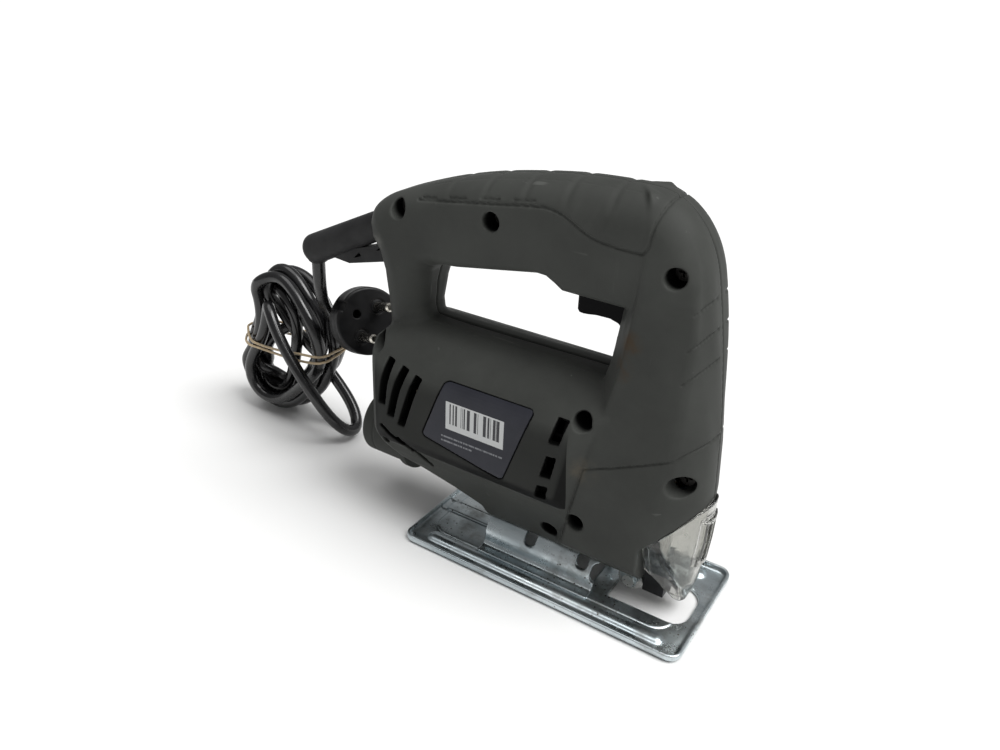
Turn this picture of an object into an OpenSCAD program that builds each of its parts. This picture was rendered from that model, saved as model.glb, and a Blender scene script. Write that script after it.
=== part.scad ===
// Jigsaw power tool: a D-handle jigsaw standing on its tilting sole plate, its mains cord tied behind it.
// +X is forward (the sawing direction), +Y is the left side, +Z is up.
// The origin is at the middle of the sole's underside.

/* [Sole] */
// Length of the sole plate
sole_length = 151; // [148:1:156]
// Width of the sole plate
sole_width = 72; // [70:1:74]
// Thickness of the sole's steel sheet
sheet = 1.5; // [1.2:0.1:1.6]
// Height of the rolled rim
rim_height = 4; // [3:0.5:4]
// Half the width of the blade opening
opening_half = 13; // [12.5:0.5:14]
// Outer radius of the tilt bracket's arch
arch_radius = 16.5; // [16:0.1:16.5]
// Wall of the arch
arch_wall = 1.8; // [1.5:0.1:2]
// Height of the tilt axis above the sole's underside
tilt_z = 4; // [4:0.1:4.3]

/* [Housing] */
// Half the width over the motor barrel
barrel_half = 32; // [31.5:0.5:33]
// Half the width of the handle
handle_half = 17.5; // [17.5:0.5:19]
// Half the width of the front column
column_half = 26.5; // [26.5:0.5:28]
// Radius of a screw's counterbore
counterbore_r = 4.2; // [4:0.1:4.3]
// Outer radius of the dust port
port_r = 17.5; // [17.5:0.5:18]
// Bore radius of the dust port
port_bore_r = 15.25; // [14.5:0.25:15.5]

/* [Motor] */
// Height of the motor axis
motor_z = 80; // [80:1:80]
// Outer radius of the stator
stator_r = 26; // [25:0.5:26.5]
// Radius of the armature core
armature_r = 15.5; // [14.5:0.5:15.5]
// Radius of the commutator
commutator_r = 10; // [9:0.5:10]
// Radius of the cooling fan
fan_r = 25; // [22:1:26]

/* [Drive] */
// Teeth of the drive gear
gear_teeth = 60; // [60:1:60]
// Teeth of the pinion
pinion_teeth = 8; // [8:1:8]
// Tooth module of the gear pair
tooth_module = 0.7; // [0.68:0.01:0.7]
// Stroke of the plunger
stroke = 18; // [14:1:18]
// Distance of the plunger's axis from the origin
plunger_x = 49.5; // [49.4:0.1:49.6]
// Radius of the plunger rod
plunger_r = 4; // [3.8:0.1:4]

/* [Cord] */
// Diameter of the mains cord
cord_d = 7; // [6:0.1:7.4]
// Diameter of the plug's face
plug_d = 38; // [36:0.5:39]
// Diameter of a plug pin
pin_d = 4.8; // [4:0.1:4.8]

/* [Hidden] */
$fn = 64;

// A cut runs this far past the faces that it opens
past = 1;

// Colours
housing_grey = "#454643";
label_blue = "#3b3d47";
black = "#1b1b1c";
steel = "#b9bcc0";
zinc = "#9fa9ae";
aluminium = "#c3c5c8";
copper = "#b26b3a";
brass = "#c9a650";
clear = "#dfe6e6";

// Side outline of the housing as [x, z], from the rear of the handle over the top and back below
housing_outline = [[-107.5, 142], [-111.5, 149], [-112.5, 157], [-110, 164], [-103.5, 169.5],
    [-95, 173.5], [-77, 178.5], [-64, 183], [-51, 187], [-33, 191], [-10, 194], [10, 195.5],
    [28, 195.5], [36, 193.5], [44, 187], [50, 178.5], [54.5, 168], [57.5, 155], [61, 138],
    [64.5, 115], [67, 95], [68.5, 80], [69, 66], [47, 46], [46, 24], [44, 17.6], [-44, 17.6],
    [-62, 28], [-75, 34], [-88, 37], [-99, 46], [-105, 60], [-107, 78], [-107, 92],
    [-105.5, 104], [-104.5, 120]];
// Outline of the hand opening
window_outline = [[-79.5, 120], [-78.5, 138], [-74, 143], [-40, 149], [-16, 153], [-9, 152],
    [-4, 148], [24, 148], [23, 118.5], [20, 115.5], [-74, 114.5]];
// Side outline of the motor barrel
barrel_outline = [[-107, 92], [-101, 106], [-86, 115], [22, 116], [24, 60], [24, 17.6],
    [-44, 17.6], [-62, 28], [-75, 34], [-88, 37], [-99, 46], [-105, 60], [-107, 78]];
// Half section of the barrel as [y, z], from the top down
barrel_section = [[0, 114.5], [8, 113.5], [16, 110.5], [23, 105], [29, 97], [barrel_half, 88],
    [barrel_half, 57], [27, 48], [25, 31], [12.5, 18.3], [0, 17.6]];
// Plan of the barrel as [x, y], rounded at the rear
barrel_plan = [[24, barrel_half], [-91, barrel_half], [-99, 28], [-105, 20], [-107, 10]];
// Side outline of the front column
column_outline = [[28, 195.5], [36, 193.5], [44, 187], [50, 178.5], [54.5, 168], [57.5, 155],
    [61, 138], [64.5, 115], [67, 95], [68.5, 80], [69, 66], [47, 46], [46, 24], [44, 17.6],
    [12, 17.6], [15, 60], [24, 100], [30, 130], [31, 170], [30, 186]];
// Half section of the front column
column_section = [[0, 196.5], [8, 195.5], [15, 189], [20, 178], [25, 165], [column_half, 140],
    [column_half, 60], [25, 31], [12.5, 18.3], [0, 17.6]];
// Half plan of the front column
column_plan = [[10, column_half], [34, column_half], [56, 19.5], [65, 11], [69, 4]];

// Clamshell screws as [x, z, length of the boss inside]; a length of 0 has solid plastic round it
screw_places = [[-90.8, 167, 13.5], [-40.2, 171.8, 13.5], [43.7, 166.8, 0], [-98, 101, 0],
    [15.6, 98.2, 0], [58.4, 77.2, 17], [15.7, 44.9, 0], [-0.6, 29.3, 0]];
// Depth from the parting plane at which the screw heads sit
head_y = 9;
boss_r = 4.6 + 0.6;
slim_boss_r = 4.6;

// Label and vents on the housing's sides
label_outline = [[-55, 96], [-8, 96], [-21.5, 54.5], [-68.5, 62.5]];
label_depth = 0.8;
vent_width = 3.6;
// Rear vents as [x at the top, top z, x at the bottom, bottom z]
rear_vents = [[-86.5, 96, -91.5, 73], [-77, 96, -86.5, 67.5], [-68, 96, -80, 64.5]];
// Front vents as [x, z, height]
front_vents = [[5, 90, 12], [1.6, 70.5, 10], [-1.5, 55.5, 8]];

// Motor stations along X
core_x0 = -50;
core_x1 = -14;
chamber_r = 27;
chamber_x0 = -80;
chamber_x1 = 9.5;
shaft_r = 4;
tail_r = 3;
running_fit = 0.05;
front_bearing_x = 21;
bearing_width = 7;
bearing_r = 11;
rear_bearing_x = -94;
rear_bearing_width = 6;
rear_bearing_r = 9.5;
boot_r = 12;
brush_x = -68;

// Gear stations
gear_x0 = 30.5;
gear_x1 = 37;
gear_pitch_r = gear_teeth * tooth_module / 2;
pinion_pitch_r = pinion_teeth * tooth_module / 2;
gear_z = motor_z + gear_pitch_r + pinion_pitch_r;
axle_r = 4;
crank_r = stroke / 2;
frame_x0 = 21;
frame_x1 = 29;
bush_r = 6.3;
lobe_r = 7.9;
lower_bush_z = 58;
upper_bush_z = 127;
yoke_x0 = 41.8;
yoke_x1 = 44.5;
plunger_z0 = 12;
plunger_z1 = 142;

// Base clamp
clamp_screw_x = [-13, 16];
arch_x0 = -38;
arch_x1 = 24;
flange_y = 23;
slot_half = 3.2;
slot_angle = 62;
saddle_gap = 0.3;

// Guide roller
roller_x = 37.5;
roller_z = 8;
roller_r = 6.2;
roller_half = 3.5;
roller_pin_r = 2;

// Cord sleeve: a straight rubber sleeve that leaves the handle downwards to the rear
sleeve_start = [-100, 0, 158.5];
sleeve_end = [-158.5, 0, 129.5];
sleeve_r = 7;
stub_r = 4.9;
stub_z = 122.5;
// Route of the free cord from the sleeve down to the hank
cord_route = [[-158.5, 0, 122.5], [-158.5, 0, 116], [-160, 1, 108], [-163.5, 5, 100], [-168.5, 11, 92],
    [-171.5, 17, 87], [-174, 22, 82.5]];
cord_sides = 10;
hank_y0 = 16.6;
hank_y1 = 42;
band_x0 = -241.2;
band_x1 = -155.7;
band_z = 33;
band_height = 6;
band_wall = 1.2;

// Plug: its face's centre, the way its pins point and the way from one pin to the other
plug_face = [-140, 18, 86];
plug_axis = unit([0.842, -0.429, 0.327]);
pin_row = unit(cross(cross(plug_axis, [0.05, 0.667, 0.743]), plug_axis));
pin_spacing = 19;
pin_length = 19;

function unit(v) = v / norm(v);
function mirrored(half) = concat(half, [for (i = [len(half) - 1:-1:0])
    if (half[i][0] > 0) [-half[i][0], half[i][1]]]);
function turn(v) = [-v[1], v[0]];
function edge_normal(a, b) = turn(unit(b - a));
// Moves each point of a closed outline inwards by d, the points running clockwise
function inset(path, d) = [for (i = [0:len(path) - 1])
    let(before = path[(i + len(path) - 1) % len(path)], here = path[i], after = path[(i + 1) % len(path)],
        n1 = edge_normal(before, here), n2 = edge_normal(here, after))
    here - d * (n1 + n2) / (1 + n1 * n2)];

// Extrudes an [x, z] shape across the tool, from y0 to y1
module side_extrude(y0, y1) {
    translate([0, y1, 0]) rotate([90, 0, 0]) linear_extrude(height = y1 - y0) children();
}
// Extrudes a [y, z] shape along the tool, from x0 to x1
module front_extrude(x0, x1) {
    translate([x0, 0, 0]) rotate([90, 0, 90]) linear_extrude(height = x1 - x0) children();
}
// Extrudes an [x, y] shape upwards, from z0 to z1
module plan_extrude(z0, z1) {
    translate([0, 0, z0]) linear_extrude(height = z1 - z0) children();
}
module rod_x(x0, x1, r, y = 0, z = 0) {
    translate([x0, y, z]) rotate([0, 90, 0]) cylinder(h = x1 - x0, r = r);
}
module rod_y(y0, y1, r, x = 0, z = 0) {
    translate([x, y1, z]) rotate([90, 0, 0]) cylinder(h = y1 - y0, r = r);
}
module rod_z(z0, z1, r, x = 0, y = 0) {
    translate([x, y, z0]) cylinder(h = z1 - z0, r = r);
}
module tube_x(x0, x1, r, bore, y = 0, z = 0) {
    difference() {
        rod_x(x0, x1, r, y, z);
        rod_x(x0 - past, x1 + past, bore, y, z);
    }
}
module block(low, high) {
    translate(low) cube(high - low);
}
// Sets a shape's +Z along the line from one point to another
module aim(from, to) {
    v = to - from;
    turn_z = atan2(v[1], v[0]);
    turn_y = acos(v[2] / norm(v));
    translate(from) rotate([0, turn_y, turn_z]) children();
}
// A closed tube round a route, one polyhedron
module route_tube(route, radius, sides) {
    last = len(route) - 1;
    function heading(i) = unit(route[min(i + 1, last)] - route[max(i - 1, 0)]);
    points = [for (i = [0:last])
        let(t = heading(i), side = unit(cross(t, [0.3, 1, 0.1])), up = cross(side, t))
        for (k = [0:sides - 1]) let(a = 360 * k / sides)
            route[i] + radius * (cos(a) * side + sin(a) * up)];
    walls = [for (i = [0:last - 1]) for (k = [0:sides - 1])
        let(a = i * sides + k, b = i * sides + (k + 1) % sides)
        each [[a, b, b + sides], [a, b + sides, a + sides]]];
    first_cap = [for (k = [sides - 1:-1:0]) k];
    last_cap = [for (k = [0:sides - 1]) last * sides + k];
    polyhedron(points, concat([first_cap], walls, [last_cap]), convexity = 4);
}

// ---- Housing ----

module handle_layer(half, inset_by) {
    side_extrude(-half, half) difference() {
        polygon(inset(housing_outline, inset_by));
        polygon(inset(window_outline, -inset_by));
    }
}
module barrel_solid() {
    intersection() {
        side_extrude(-barrel_half, barrel_half) polygon(barrel_outline);
        front_extrude(-108, 24) polygon(mirrored(barrel_section));
        plan_extrude(10, 120) polygon(concat(barrel_plan, [for (i = [len(barrel_plan) - 1:-1:0])
            [barrel_plan[i][0], -barrel_plan[i][1]]]));
    }
}
module column_solid() {
    intersection() {
        side_extrude(-column_half, column_half) polygon(column_outline);
        front_extrude(10, 70) polygon(mirrored(column_section));
        plan_extrude(10, 200) polygon(concat(column_plan, [for (i = [len(column_plan) - 1:-1:0])
            [column_plan[i][0], -column_plan[i][1]]]));
    }
}
// Keeps the housing clear of the sole over the whole tilt
module tilt_clearance() {
    front_extrude(-77, 77) polygon([[0, -10], [60, 50], [60, 64.9], [0, 4.9], [-60, 64.9], [-60, 50]]);
}
module housing_solid() {
    difference() {
        union() {
            handle_layer(12, 0);
            handle_layer(15.5, 2);
            handle_layer(handle_half, 5);
            barrel_solid();
            column_solid();
        }
        tilt_clearance();
        rod_x(arch_x0 - 3, arch_x1 + 3, arch_radius + saddle_gap, 0, tilt_z);
    }
}
module motor_chamber() {
    rod_x(chamber_x0, chamber_x1, chamber_r, 0, motor_z);
    rod_x(-97, chamber_x0 + past, boot_r, 0, motor_z);
    rod_x(chamber_x1 - past, frame_x0 + past, 10, 0, motor_z);
    block([brush_x - 7, -29.5, motor_z - 8], [brush_x + 7, 29.5, motor_z + 8]);
}
module gear_chamber() {
    block([frame_x0, -21.6, 56], [38, 21.6, 98]);
    block([frame_x0, -17.3, 97], [38, 17.3, 110]);
    rod_x(frame_x1 + 1, 37.8, gear_pitch_r + 1, 0, gear_z);
    block([37.5, -18, 56], [45.6, 18, 123]);
    block([26.3, -9.7, 100], [57.8, 9.7, 141]);
    block([38, -9.7, 56], [57.8, 9.7, 125]);
    rod_z(130, 161, plunger_r + 0.8, plunger_x);
    rod_z(16, 60, plunger_r + 0.7, plunger_x);
    block([42.5, -8, 10], [57, 8, 43]);
}
module handle_chamber() {
    side_extrude(-14.2, 14.2) polygon([[-16, 158.5], [-4, 157.5], [23, 157.5], [26.5, 160], [26.5, 176],
        [8, 184], [-16, 182]]);
    side_extrude(-10.5, 10.5) polygon([[-101, 108], [-87, 108], [-84.5, 142], [-40, 156],
        [-15, 160], [-15, 178], [-33, 180], [-64, 173], [-88, 164.5], [-97, 160.5], [-101, 156]]);
    block([-1.8, -8.4, 130], [24.2, 8.4, 158.8]);
}
module vents(side) {
    for (v = rear_vents) {
        lean = atan2(v[0] - v[2], v[1] - v[3]);
        height = norm([v[0] - v[2], v[1] - v[3]]);
        translate([(v[0] + v[2]) / 2, side * 27, (v[1] + v[3]) / 2]) rotate([0, lean, 0])
            cube([vent_width, 14, height], center = true);
    }
    for (v = front_vents) {
        translate([v[0], side * 28, v[1]]) rotate([0, 8, 0]) cube([6.5, 14, v[2]], center = true);
    }
}
module shell_cuts() {
    motor_chamber();
    gear_chamber();
    handle_chamber();
    rod_x(-120, -88, port_r + 0.1, 0, 41);
    rod_x(-92.1, -87.9, port_r + 1.6, 0, 41);
    aim(sleeve_start, sleeve_end) cylinder(h = 70, r = sleeve_r);
    aim(sleeve_start, sleeve_end) translate([0, 0, -1]) cylinder(h = 5, r = 8.5);
    for (x = clamp_screw_x) {
        rod_z(10, 34, 3.2, x);
        translate([x, 0, 26.8]) cylinder(h = 5.4, r = 5.9, $fn = 6);
    }
    for (y = [-13, 13]) rod_x(10, frame_x0 + past, 2, y, 104);
    for (y = [-15, 15]) rod_x(10, frame_x0 + past, 2, y, 66);
    block([roller_x - 7, -6, 10], [roller_x + 2.7, 6, 18.5]);
}
module right_shell() {
    color(housing_grey) difference() {
        union() {
            difference() {
                intersection() {
                    housing_solid();
                    block([-130, -40, 0], [80, 0, 200]);
                }
                shell_cuts();
                vents(-1);
                side_extrude(-barrel_half - past, label_depth - barrel_half) polygon(label_outline);
            }
            for (s = screw_places) if (s[2] > 0)
                rod_y(-s[2], 0, s[2] > 15 ? slim_boss_r : boss_r, s[0], s[1]);
        }
        for (s = screw_places) {
            rod_y(-40, -head_y + 3, s[2] > 15 ? 3.8 : counterbore_r, s[0], s[1]);
            rod_y(-20, past, 1.9, s[0], s[1]);
        }
    }
}
module left_shell() {
    color(housing_grey) difference() {
        union() {
            difference() {
                intersection() {
                    housing_solid();
                    block([-130, 0, 0], [80, 40, 200]);
                }
                shell_cuts();
                vents(1);
                side_extrude(barrel_half - label_depth, barrel_half + past) polygon(label_outline);
                rod_y(13, 25, 4.5, 8, 166);
            }
            for (s = screw_places) if (s[2] > 0) rod_y(0, s[2], slim_boss_r, s[0], s[1]);
        }
        for (s = screw_places) rod_y(-past, 13, 1.75, s[0], s[1]);
    }
}
module right_label() {
    color(label_blue) side_extrude(-barrel_half, label_depth - barrel_half) polygon(label_outline);
}
module left_label() {
    color(label_blue) side_extrude(barrel_half - label_depth, barrel_half) polygon(label_outline);
}
// A pan-head screw with a cross recess, pointing to +Z, its head's underside at the origin
module pan_screw(r, length, head_r, head_height) {
    difference() {
        union() {
            cylinder(h = length, r = r);
            translate([0, 0, -head_height]) cylinder(h = head_height, r = head_r);
        }
        for (a = [0, 90]) rotate([0, 0, a])
            translate([-head_r * 0.6, -head_r * 0.13, -head_height - past])
                cube([head_r * 1.2, head_r * 0.26, past + head_height * 0.6]);
    }
}
module housing_screws() {
    color(steel) for (s = screw_places)
        translate([s[0], -head_y + 3, s[1]]) rotate([-90, 0, 0]) pan_screw(1.7, head_y + 9, 3.6, 2.6);
}
module dust_port() {
    color(housing_grey) difference() {
        union() {
            rod_x(-118, -88, port_r, 0, 41);
            rod_x(-92, -88, port_r + 1.5, 0, 41);
        }
        rod_x(-120, -91, port_bore_r, 0, 41);
    }
}
// Outline of the clear guard's walls at the sides, as [x, z]
guard_side = [[46.5, 44.5], [70, 65.2], [70, 36], [68.4, 30], [66.5, 9], [60, 9], [46.5, 22]];
guard_wall = 2;
module guard_form(d) {
    intersection() {
        side_extrude(-30, 30) polygon(d > 0 ? [[40, 0], [40, 70], [70 - d, 70], [70 - d, 36],
            [68.4 - d, 30], [66.5 - d, 0]] : guard_side);
        front_extrude(40, 72) polygon(mirrored([[0, 70], [23.5 - d, 67], [20 - d, 46], [12 - d, 24],
            [3.5 - d * 0.5, 9], [0, d > 0 ? 0 : 9]]));
        plan_extrude(0, 70) polygon([[40, 24 - d], [50, 23.5 - d], [58, 19 - d], [66 - d, 11 - d * 0.7],
            [70 - d, 0], [66 - d, d * 0.7 - 11], [58, d - 19], [50, d - 23.5], [40, d - 24]]);
    }
}
module blade_guard() {
    color(clear, 0.4) difference() {
        guard_form(0);
        guard_form(guard_wall);
        for (y = [-3.4, 3.4]) block([60, y - 1, 34], [75, y + 1, 54]);
    }
}

// ---- Electrics ----

module switch_body() {
    color(black) difference() {
        block([-14, -9, 158.7], [22, 9, 176.5]);
        for (x = [-9, 0, 9]) block([x, -10, 173], [x + 3, -7.5, 178]);
    }
}
module capacitor() {
    color("#b58a2a") block([-98, -7, 112], [-89, 7, 130]);
}
clamp_x = -93;
module cord_clamp() {
    color(black) difference() {
        block([clamp_x - 3, -10, 149], [clamp_x + 3, 10, 152.5]);
        for (y = [-7, 7]) rod_z(140, 160, 1.6, clamp_x, y);
    }
}
module cord_clamp_screws() {
    color(steel) for (y = [-7, 7]) translate([clamp_x, y, 149]) pan_screw(1.5, 7, 2.6, 1.8);
}
module cord_sleeve() {
    color(black) {
        difference() {
            union() {
                aim(sleeve_start, sleeve_end) rotate_extrude() polygon(concat([[0, -0.8], [8.4, -0.8],
                    [8.4, 3.8], [sleeve_r, 3.8]], [for (a = [0:15:90])
                    [sleeve_r * cos(a), norm(sleeve_end - sleeve_start) + sleeve_r * sin(a)]]));
                rod_z(stub_z, sleeve_end[2], stub_r, sleeve_end[0]);
            }
            block([clamp_x - 20, -11, 140], [clamp_x + 3.2, 11, 152.6]);
            rod_x(-100, -80, 12, 0, 151);
        }
    }
}
module key_holder() {
    color(black) difference() {
        side_extrude(-3, 3) difference() {
            polygon([[-100, 146.5], [-100, 136.5], [-134, 127.5], [-147, 128.5], [-139, 133]]);
            polygon([[-112, 142.5], [-116, 138], [-111, 140]]);
            polygon([[-127, 135], [-131, 131], [-126, 133]]);
        }
        aim(sleeve_start, sleeve_end) cylinder(h = 90, r = sleeve_r + 0.02);
        side_extrude(-20, 20) polygon(housing_outline);
    }
}

// ---- Motor ----

module ring_sector(r0, r1, half_angle, middle) {
    intersection() {
        difference() {
            circle(r = r1);
            circle(r = r0);
        }
        rotate(middle) polygon([[0, 0], [2 * r1 * cos(half_angle), -2 * r1 * sin(half_angle)],
            [4 * r1, 0], [2 * r1 * cos(half_angle), 2 * r1 * sin(half_angle)]]);
    }
}
stator_bore = armature_r + 0.5;
yoke_r = 21.5;
module stator_core() {
    color(steel) translate([0, 0, motor_z]) front_extrude(core_x0, core_x1) {
        difference() {
            circle(r = stator_r);
            circle(r = yoke_r);
            for (a = [45:90:315]) rotate(a) translate([stator_r, 0]) circle(r = 2, $fn = 24);
        }
        for (a = [90, 270]) ring_sector(stator_bore, yoke_r + 0.5, 50, a);
    }
}
module field_coils() {
    color(copper) translate([0, 0, motor_z]) for (a = [90, 270]) {
        for (s = [-1, 1]) front_extrude(core_x0 - 1, core_x1 + 1)
            ring_sector(stator_bore + 0.8, yoke_r - 0.4, 12, a + s * 65);
        for (x = [core_x0 - 6, core_x1]) front_extrude(x, x + 6)
            ring_sector(stator_bore + 0.6, yoke_r - 0.1, 79, a);
    }
}
brush_y0 = commutator_r + 0.1;
module brush_holders() {
    color(brass) for (s = [-1, 1]) difference() {
        block([brush_x - 4, s > 0 ? 12 : -28, motor_z - 5.5],
            [brush_x + 4, s > 0 ? 28 : -12, motor_z + 5.5]);
        block([brush_x - 2.6, s > 0 ? 10 : -27, motor_z - 4.1],
            [brush_x + 2.6, s > 0 ? 27 : -10, motor_z + 4.1]);
    }
}
module carbon_brushes() {
    color("#2a2a2c") for (s = [-1, 1]) block([brush_x - 2.5, s > 0 ? brush_y0 : -21, motor_z - 4],
        [brush_x + 2.5, s > 0 ? 21 : -brush_y0, motor_z + 4]);
}
// A compression spring from z = 0 to z = height
module coil_spring(radius, wire, height, turns) {
    steps = 12 * turns;
    route_tube([for (i = [0:steps]) let(a = 30 * i) [radius * cos(a), radius * sin(a),
        wire + (height - 2 * wire) * i / steps]], wire, 6);
}
module brush_springs() {
    color(steel) for (s = [-1, 1]) translate([brush_x, s * 21.05, motor_z]) rotate([-s * 90, 0, 0])
        coil_spring(1.9, 0.3, 5.9, 4);
}
// A ball bearing of separate rings and balls, along X
module ball_bearing(x, width, outer, bore) {
    middle = (outer + bore) / 2;
    ball_r = (outer - bore) * 0.27;
    translate([x, 0, 0]) {
        tube_x(0, width, outer, outer - 1.7);
        tube_x(0, width, bore + 1.6, bore);
        for (a = [0:45:315]) translate([width / 2, middle * cos(a), middle * sin(a)])
            sphere(r = min(ball_r, middle - bore - 1.7), $fn = 20);
    }
}
module rear_bearing() {
    color(steel) translate([0, 0, motor_z])
        ball_bearing(rear_bearing_x, rear_bearing_width, rear_bearing_r, tail_r + running_fit);
}
module bearing_boot() {
    color(black) difference() {
        rod_x(rear_bearing_x - 2, rear_bearing_x + rear_bearing_width, boot_r - 0.05, 0, motor_z);
        rod_x(rear_bearing_x, 0, rear_bearing_r, 0, motor_z);
        rod_x(rear_bearing_x - 1.7, 0, 7, 0, motor_z);
    }
}
module front_bearing() {
    color(steel) translate([0, 0, motor_z])
        ball_bearing(front_bearing_x, bearing_width, bearing_r, shaft_r + running_fit);
}

// ---- Gears ----

function polar(r, a) = [r * cos(a), r * sin(a)];
// Outline of a spur gear with straight flanks, thinned a little for backlash
function gear_outline(teeth) = let(pitch = teeth * tooth_module / 2, tip = pitch + 0.8 * tooth_module,
    root = pitch - 1.1 * tooth_module, half = 0.86 * 90 / teeth, step = 360 / teeth,
    slope = 0.29 * tooth_module / pitch * 180 / PI)
    [for (i = [0:teeth - 1]) for (p = [[root, -half - slope], [tip, slope * 0.8 - half],
        [tip, half - slope * 0.8], [root, half + slope]]) polar(p[0], i * step + p[1])];

module drive_gear() {
    color(steel) translate([0, 0, gear_z]) difference() {
        front_extrude(gear_x0, gear_x1) rotate(180 / gear_teeth) polygon(gear_outline(gear_teeth));
        rod_x(gear_x0 - past, gear_x1 + past, axle_r + running_fit);
        rod_x(gear_x0 - past, gear_x1 + past, 2.5, 0, -crank_r);
        for (a = [30, 90, 150]) rod_x(gear_x0 - past, gear_x1 + past, 4, 13 * cos(a), 13 * sin(a));
        tube_x(gear_x0 - past, gear_x0 + 1.5, 18.5, 8);
    }
}
module crank_pin() {
    color(steel) rod_x(gear_x0 + 2, yoke_x0 - 0.4, 2.5, 0, gear_z - crank_r);
}
module crank_roller() {
    color(steel) tube_x(gear_x1 + 0.6, yoke_x0 - 0.5, 4, 2.5, 0, gear_z - crank_r);
}
module gear_axle() {
    color(steel) translate([0, 0, gear_z]) {
        rod_x(frame_x0, gear_x1 + 0.2, axle_r);
        rod_x(gear_x1 + 0.2, gear_x1 + 1.6, 4.7);
    }
}
module gear_frame() {
    color(aluminium) difference() {
        union() {
            block([frame_x0, -20, lower_bush_z], [frame_x1, 20, 97]);
            block([frame_x0, -16.6, 96], [frame_x1, 16.6, 109]);
            block([26.4, -8.5, 100], [frame_x1, 8.5, 140]);
            block([26.4, -lobe_r, upper_bush_z], [plunger_x, lobe_r, 140]);
            rod_z(upper_bush_z, 140, lobe_r, plunger_x);
            block([frame_x0, -lobe_r, lower_bush_z], [plunger_x, lobe_r, 68]);
            rod_z(lower_bush_z, 68, lobe_r, plunger_x);
        }
        rod_x(frame_x0 - past, frame_x0 + bearing_width, bearing_r, 0, motor_z);
        rod_x(frame_x0 - past, frame_x1 + past, 8, 0, motor_z);
        rod_x(frame_x0 - past, frame_x1 + past, axle_r, 0, gear_z);
        rod_z(lower_bush_z - past, 150, bush_r, plunger_x);
        for (y = [-13, 13]) {
            rod_x(10, frame_x1 + past, 2, y, 104);
            rod_x(frame_x1 - 0.6, frame_x1 + past, 3.3, y, 104);
        }
        for (y = [-15, 15]) rod_x(10, frame_x1 + past, 2, y, 66);
        for (y = [-17.5, 17.5]) rod_x(frame_x0 + 3, frame_x1 + past, 2.6, y, 84);
    }
}
module gear_frame_screws() {
    color(steel) {
        for (y = [-13, 13]) translate([frame_x1 - 0.6, y, 104]) rotate([0, -90, 0])
            pan_screw(1.95, 16, 3.2, 0.9);
        for (y = [-15, 15]) translate([frame_x1, y, 66]) rotate([0, -90, 0]) pan_screw(1.95, 17, 3.5, 2.4);
    }
}
module bush(z0, z1) {
    color(brass) difference() {
        rod_z(z0, z1, bush_r, plunger_x);
        rod_z(z0 - past, z1 + past, plunger_r + running_fit, plunger_x);
    }
}
module upper_bush() {
    bush(upper_bush_z, 140);
}
module lower_bush() {
    bush(lower_bush_z, 68);
}
module dust_seal() {
    color("#d8d3c4") difference() {
        rod_z(56.1, lower_bush_z, 7.4, plunger_x);
        rod_z(50, 60, plunger_r + 0.1, plunger_x);
    }
}
module armature_shaft() {
    color(steel) translate([0, 0, motor_z]) {
        rod_x(rear_bearing_x - 1.2, rear_bearing_x + rear_bearing_width + 2, tail_r);
        rod_x(rear_bearing_x + rear_bearing_width + 2, frame_x0 + bearing_width + 0.6, shaft_r);
        front_extrude(frame_x0 + bearing_width + 0.6, 38.5) polygon(gear_outline(pinion_teeth));
    }
}
core_slots = 12;
module armature_core() {
    color(steel) translate([0, 0, motor_z]) front_extrude(core_x0, core_x1) difference() {
        circle(r = armature_r);
        circle(r = shaft_r);
        for (i = [0:core_slots - 1]) rotate(360 * (i + 0.5) / core_slots)
            translate([8.5, -1.5]) square([10, 3]);
    }
}
module armature_windings() {
    color(copper) translate([0, 0, motor_z]) {
        for (i = [0:core_slots - 1]) rotate([360 * (i + 0.5) / core_slots, 0, 0])
            translate([core_x0 - 1, 8.9, -1.3]) cube([core_x1 - core_x0 + 2, 5.4, 2.6]);
        for (x = [core_x0 - 6, core_x1]) translate([x, 0, 0]) rotate([0, 90, 0]) rotate_extrude()
            polygon([[shaft_r, 0], [12, 0], [14.3, 2], [14.3, 4.5], [12.5, 6], [shaft_r, 6]]);
    }
}
module commutator() {
    color(copper) translate([0, 0, motor_z]) difference() {
        tube_x(-75, -61, commutator_r, shaft_r);
        for (i = [0:23]) rotate([15 * i, 0, 0]) translate([-76, commutator_r - 0.7, -0.3])
            cube([12.5, 2, 0.6]);
    }
}
fan_blades = 13;
module cooling_fan() {
    color(black) translate([0, 0, motor_z]) difference() {
        union() {
            rod_x(-6, 7, 8);
            rod_x(5.2, 7, fan_r);
            for (i = [0:fan_blades - 1]) rotate([360 * i / fan_blades, 0, 0]) translate([-5, 7, -0.8])
                cube([11, fan_r - 7.5, 1.6]);
        }
        rod_x(-8, 9, shaft_r);
    }
}

// ---- Plunger and blade clamp ----

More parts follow.
